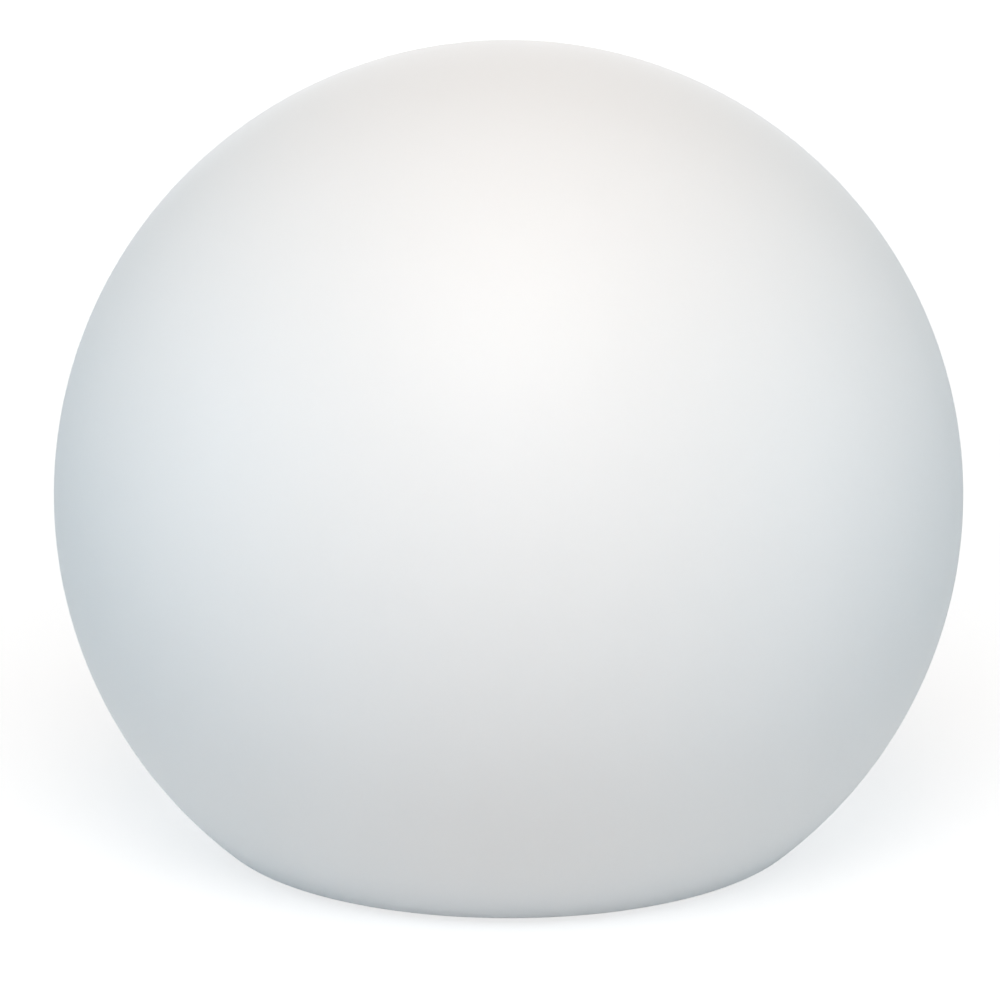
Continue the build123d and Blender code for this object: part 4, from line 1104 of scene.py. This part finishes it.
lead_pvc, place = new_finish("battery_lead_pvc", PVC)
wave = grain(place, 0.0025, 3)
red = mixed(wave, (0.5, 0.03, 0.03), (0.6, 0.05, 0.05))
black = mixed(wave, (0.025, 0.025, 0.027), (0.05, 0.05, 0.052))
coat(lead_pvc, {
    "Base Color": mixed(part_of(place, 1) > RED_SIDE_Y, black, red),
    "Roughness": between(wave, 0.24, 0.42),
    "Coat Weight": between(wave, 0.2, 0.4),
    "Normal": relief(wave, 0.00006),
}, nodes["battery_leads"])

white_pvc, place = new_finish("led_lead_pvc", PVC)
wave = grain(place, 0.0025, 3)
tracer = abs(abs(part_of(place, 0)) - PAIR_SPREAD) - LEAD_SPREAD > TRACER_REACH
white = mixed(wave, (0.8, 0.8, 0.78), (0.86, 0.86, 0.84))
tint = mixed(part_of(place, 0) > 0, (0.1, 0.25, 0.55), (0.12, 0.42, 0.2))
coat(white_pvc, {
    "Base Color": mixed(tracer, white, tint),
    "Roughness": between(wave, 0.24, 0.42),
    "Coat Weight": between(wave, 0.2, 0.4),
    "Normal": relief(wave, 0.00006),
}, nodes["led_leads"])

# ---- Heat plate ----
# A disc of rolled aluminium, 2 mm thick, with the fine lines of the rollers along X and a few handling
# marks. It takes the heat of the LED board.
rolled_plate, place = new_finish("rolled_aluminium", {})
lines = grain(stretched(place, 0.03, 1, 1), 0.0003, 3, 0.7)
handled = grain(place, 0.012, 4, 0.6, 0.8)
coat(rolled_plate, {
    "Base Color": mixed(handled, (0.72, 0.73, 0.745), (0.8, 0.81, 0.82)),
    "Metallic": between(handled, 0.97, 1),
    "Roughness": between(lines * 0.5 + handled * 0.5, 0.26, 0.48),
    "Normal": relief(lines, 0.00003),
}, nodes["heat_plate"])

# ---- LED board and its LEDs ----
# A round board on an aluminium core under white solder resist, whose copper shows as faint plateaus in
# rings. The LEDs are white packages with tinned ends and a low round lens over yellow phosphor.
COPPER_REACH = 0.02
COPPER_SHARES = 12
COPPER_PITCH = 0.0058
LENS_RISE = 0.0002
END_RISE = 0.0004
leds_low, leds_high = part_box("led_chips")

white_board, place = new_finish("white_board", {"IOR": 1.52, "Coat Roughness": 0.15})
top = facing_up(place)
round_about = part_of(place, 1).math("ARCTAN2", part_of(place, 0)) * COPPER_REACH
rolled_out = place.node("ShaderNodeCombineXYZ", {}, {0: round_about, 1: flat_distance(place, 0, 0)})
sockets = {"Vector": rolled_out, "Scale": 1}
sockets.update({"Mortar Size": 0.00013, "Mortar Smooth": 0.3})
sockets.update({"Brick Width": 2 * math.pi * COPPER_REACH / COPPER_SHARES, "Row Height": COPPER_PITCH})
gap = place.node("ShaderNodeTexBrick", {"offset": 0.5, "offset_frequency": 2}, sockets, 1)
cloud = grain(place, 0.007, 3)
milled = bands(place, "Z", 0.0003)
white = mixed(gap, mixed(cloud, (0.86, 0.86, 0.84), (0.9, 0.9, 0.885)), (0.83, 0.83, 0.815))
coat(white_board, {
    "Base Color": mixed(top, (0.74, 0.75, 0.76), white),
    "Metallic": 1 - top,
    "Roughness": between(cloud * 0.6 + milled * 0.4, 0.26, 0.46),
    "Coat Weight": top * 0.4,
    "Normal": relief(milled * (1 - top) * 0.3 - gap * top, 0.00005),
}, nodes["led_board"])

led_finish, place = new_finish("led_package", {"IOR": 1.52, "Coat Roughness": 0.06})
height = part_of(place, 2)
lens = height > leds_high.z - LENS_RISE
tinned = height < leds_low.z + END_RISE
cloud = grain(place, 0.0008, 3)
phosphor = mixed(cloud, (0.86, 0.66, 0.12), (0.93, 0.76, 0.22))
package = mixed(cloud, (0.88, 0.88, 0.86), (0.93, 0.93, 0.91))
coat(led_finish, {
    "Base Color": mixed(tinned, mixed(lens, package, phosphor), (0.68, 0.67, 0.65)),
    "Metallic": tinned,
    "Roughness": between(cloud, 0.3, 0.46) - lens * 0.16,
    "Coat Weight": lens * 0.8,
}, nodes["led_chips"])

# ---- Cover ----
# A dome of opal polycarbonate over the LEDs, whose flange is screwed down on the gasket. It spreads the
# light, is smooth outside and has faint rings from the turned mould.
MOULD_RING_PITCH = 0.0008

milky = {"IOR": 1.58, "Subsurface Weight": 0.3, "Subsurface Scale": 0.002}
opal, place = new_finish("opal_polycarbonate", milky)
rings = (flat_distance(place, 0, 0) * (2 * math.pi / MOULD_RING_PITCH)).math("SINE") * 0.5 + 0.5
cloud = grain(place, 0.014, 3)
coat(opal, {
    "Base Color": mixed(cloud, (0.91, 0.91, 0.9), (0.945, 0.945, 0.935)),
    "Roughness": between(cloud * 0.7 + rings * 0.3, 0.24, 0.42),
    "Normal": relief(rings * 0.3 + cloud * 0.7, 0.00002),
}, nodes["light_cover"])

# ---- Studio ----
# A pale floor that is white to the camera but keeps the ball's shadow, and large soft lamps: two high in
# front, one low in front, one at each side, one behind, and a weak one for views of the underside.
FLOOR_SIZE = 24
GLOW_START = 0.3
GLOW_END = 2.2
LAMP_SIZE = 1.6


def seen_directly(start):
    """1 for what the camera sees, straight or by way of a mirror or glass."""
    looks = start.node("ShaderNodeLightPath", {}, {}, "Is Camera Ray")
    for kind in ("Is Glossy Ray", "Is Transmission Ray"):
        looks = looks.math("MAXIMUM", start.node("ShaderNodeLightPath", {}, {}, kind))
    return looks


def soft_lamp(name, place, power, colour, target=ball_middle, size=LAMP_SIZE, spread=180):
    """A round soft box that faces a point. The camera doesn't see it."""
    data = bpy.data.lights.new(name, "AREA")
    data.shape = "DISK"
    data.size = size
    data.energy = power
    data.color = colour
    data.spread = math.radians(spread)
    lamp = bpy.data.objects.new(name, data)
    bpy.context.collection.objects.link(lamp)
    lamp.location = place
    lamp.rotation_euler = (Vector(target) - Vector(place)).to_track_quat("-Z", "Y").to_euler()
    lamp.visible_camera = False


pick()
bpy.ops.mesh.primitive_plane_add(size=FLOOR_SIZE, location=(0, 0, 0))
floor = bpy.context.object
floor.name = "floor"
floor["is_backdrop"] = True
floor_finish = bpy.data.materials.new("floor")
floor_finish.use_nodes = True
tree = floor_finish.node_tree
tree.nodes.clear()
start = Shade(tree).node("ShaderNodeTexCoord", {}, {}, "Object")
glow = between(flat_distance(start, 0, 0), 0.72, 1.0, GLOW_START, GLOW_END)
shaded = start.node("ShaderNodeBsdfDiffuse", {}, {"Color": (0.4, 0.4, 0.4, 1)})
shining = start.node("ShaderNodeEmission", {}, {"Strength": glow})
seen = start.node("ShaderNodeAddShader", {}, {0: shaded, 1: shining})
real = start.node("ShaderNodeBsdfDiffuse", {}, {"Color": (0.78, 0.78, 0.78, 1)})
surface = start.node("ShaderNodeMixShader", {}, {0: seen_directly(start), 1: real, 2: seen})
underside = start.node("ShaderNodeNewGeometry", {}, {}, "Backfacing")
passes = underside.math("MAXIMUM", start.node("ShaderNodeLightPath", {}, {}, "Is Shadow Ray"))
clear = start.node("ShaderNodeBsdfTransparent", {}, {})
final = start.node("ShaderNodeMixShader", {}, {0: passes, 1: surface, 2: clear})
tree.links.new(final.socket, tree.nodes.new("ShaderNodeOutputMaterial").inputs["Surface"])
floor.data.materials.append(floor_finish)

soft_lamp("key", (0, -1.7, 2.3), 40, (0.98, 0.98, 0.97))
soft_lamp("top_fill", (0, -0.8, 2.7), 10.5, (1.0, 0.6, 0.33))
soft_lamp("left_fill", (-2.4, -0.7, 0.9), 14.4, (0.47, 0.79, 1.0))
soft_lamp("right_fill", (2.4, -0.7, 0.9), 12.6, (0.52, 0.82, 1.0))
soft_lamp("front_fill", (0, -3.2, 1.2), 10.4, (0.87, 0.89, 1.0))
soft_lamp("back_fill", (0, 2.6, 0.6), 16, (0.87, 0.94, 1.0), size=2.0)
soft_lamp("foot_fill", (0, 0, -0.25), 0.04, (1, 1, 1), target=(0, 0, 0), size=0.22, spread=10)

world = bpy.data.worlds.new("studio")
bpy.context.scene.world = world
world.use_nodes = True
tree = world.node_tree
tree.nodes.clear()
start = Shade(tree)
seen = start.node("ShaderNodeBackground", {}, {"Color": (1, 1, 1, 1)})
light = start.node("ShaderNodeBackground", {}, {"Color": (0.95, 0.96, 0.97, 1), "Strength": 0.155})
sky = start.node("ShaderNodeMixShader", {}, {0: seen_directly(start), 1: light, 2: seen})
tree.links.new(sky.socket, tree.nodes.new("ShaderNodeOutputWorld").inputs["Surface"])

bpy.context.scene.view_settings.view_transform = "Standard"

low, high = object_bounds()
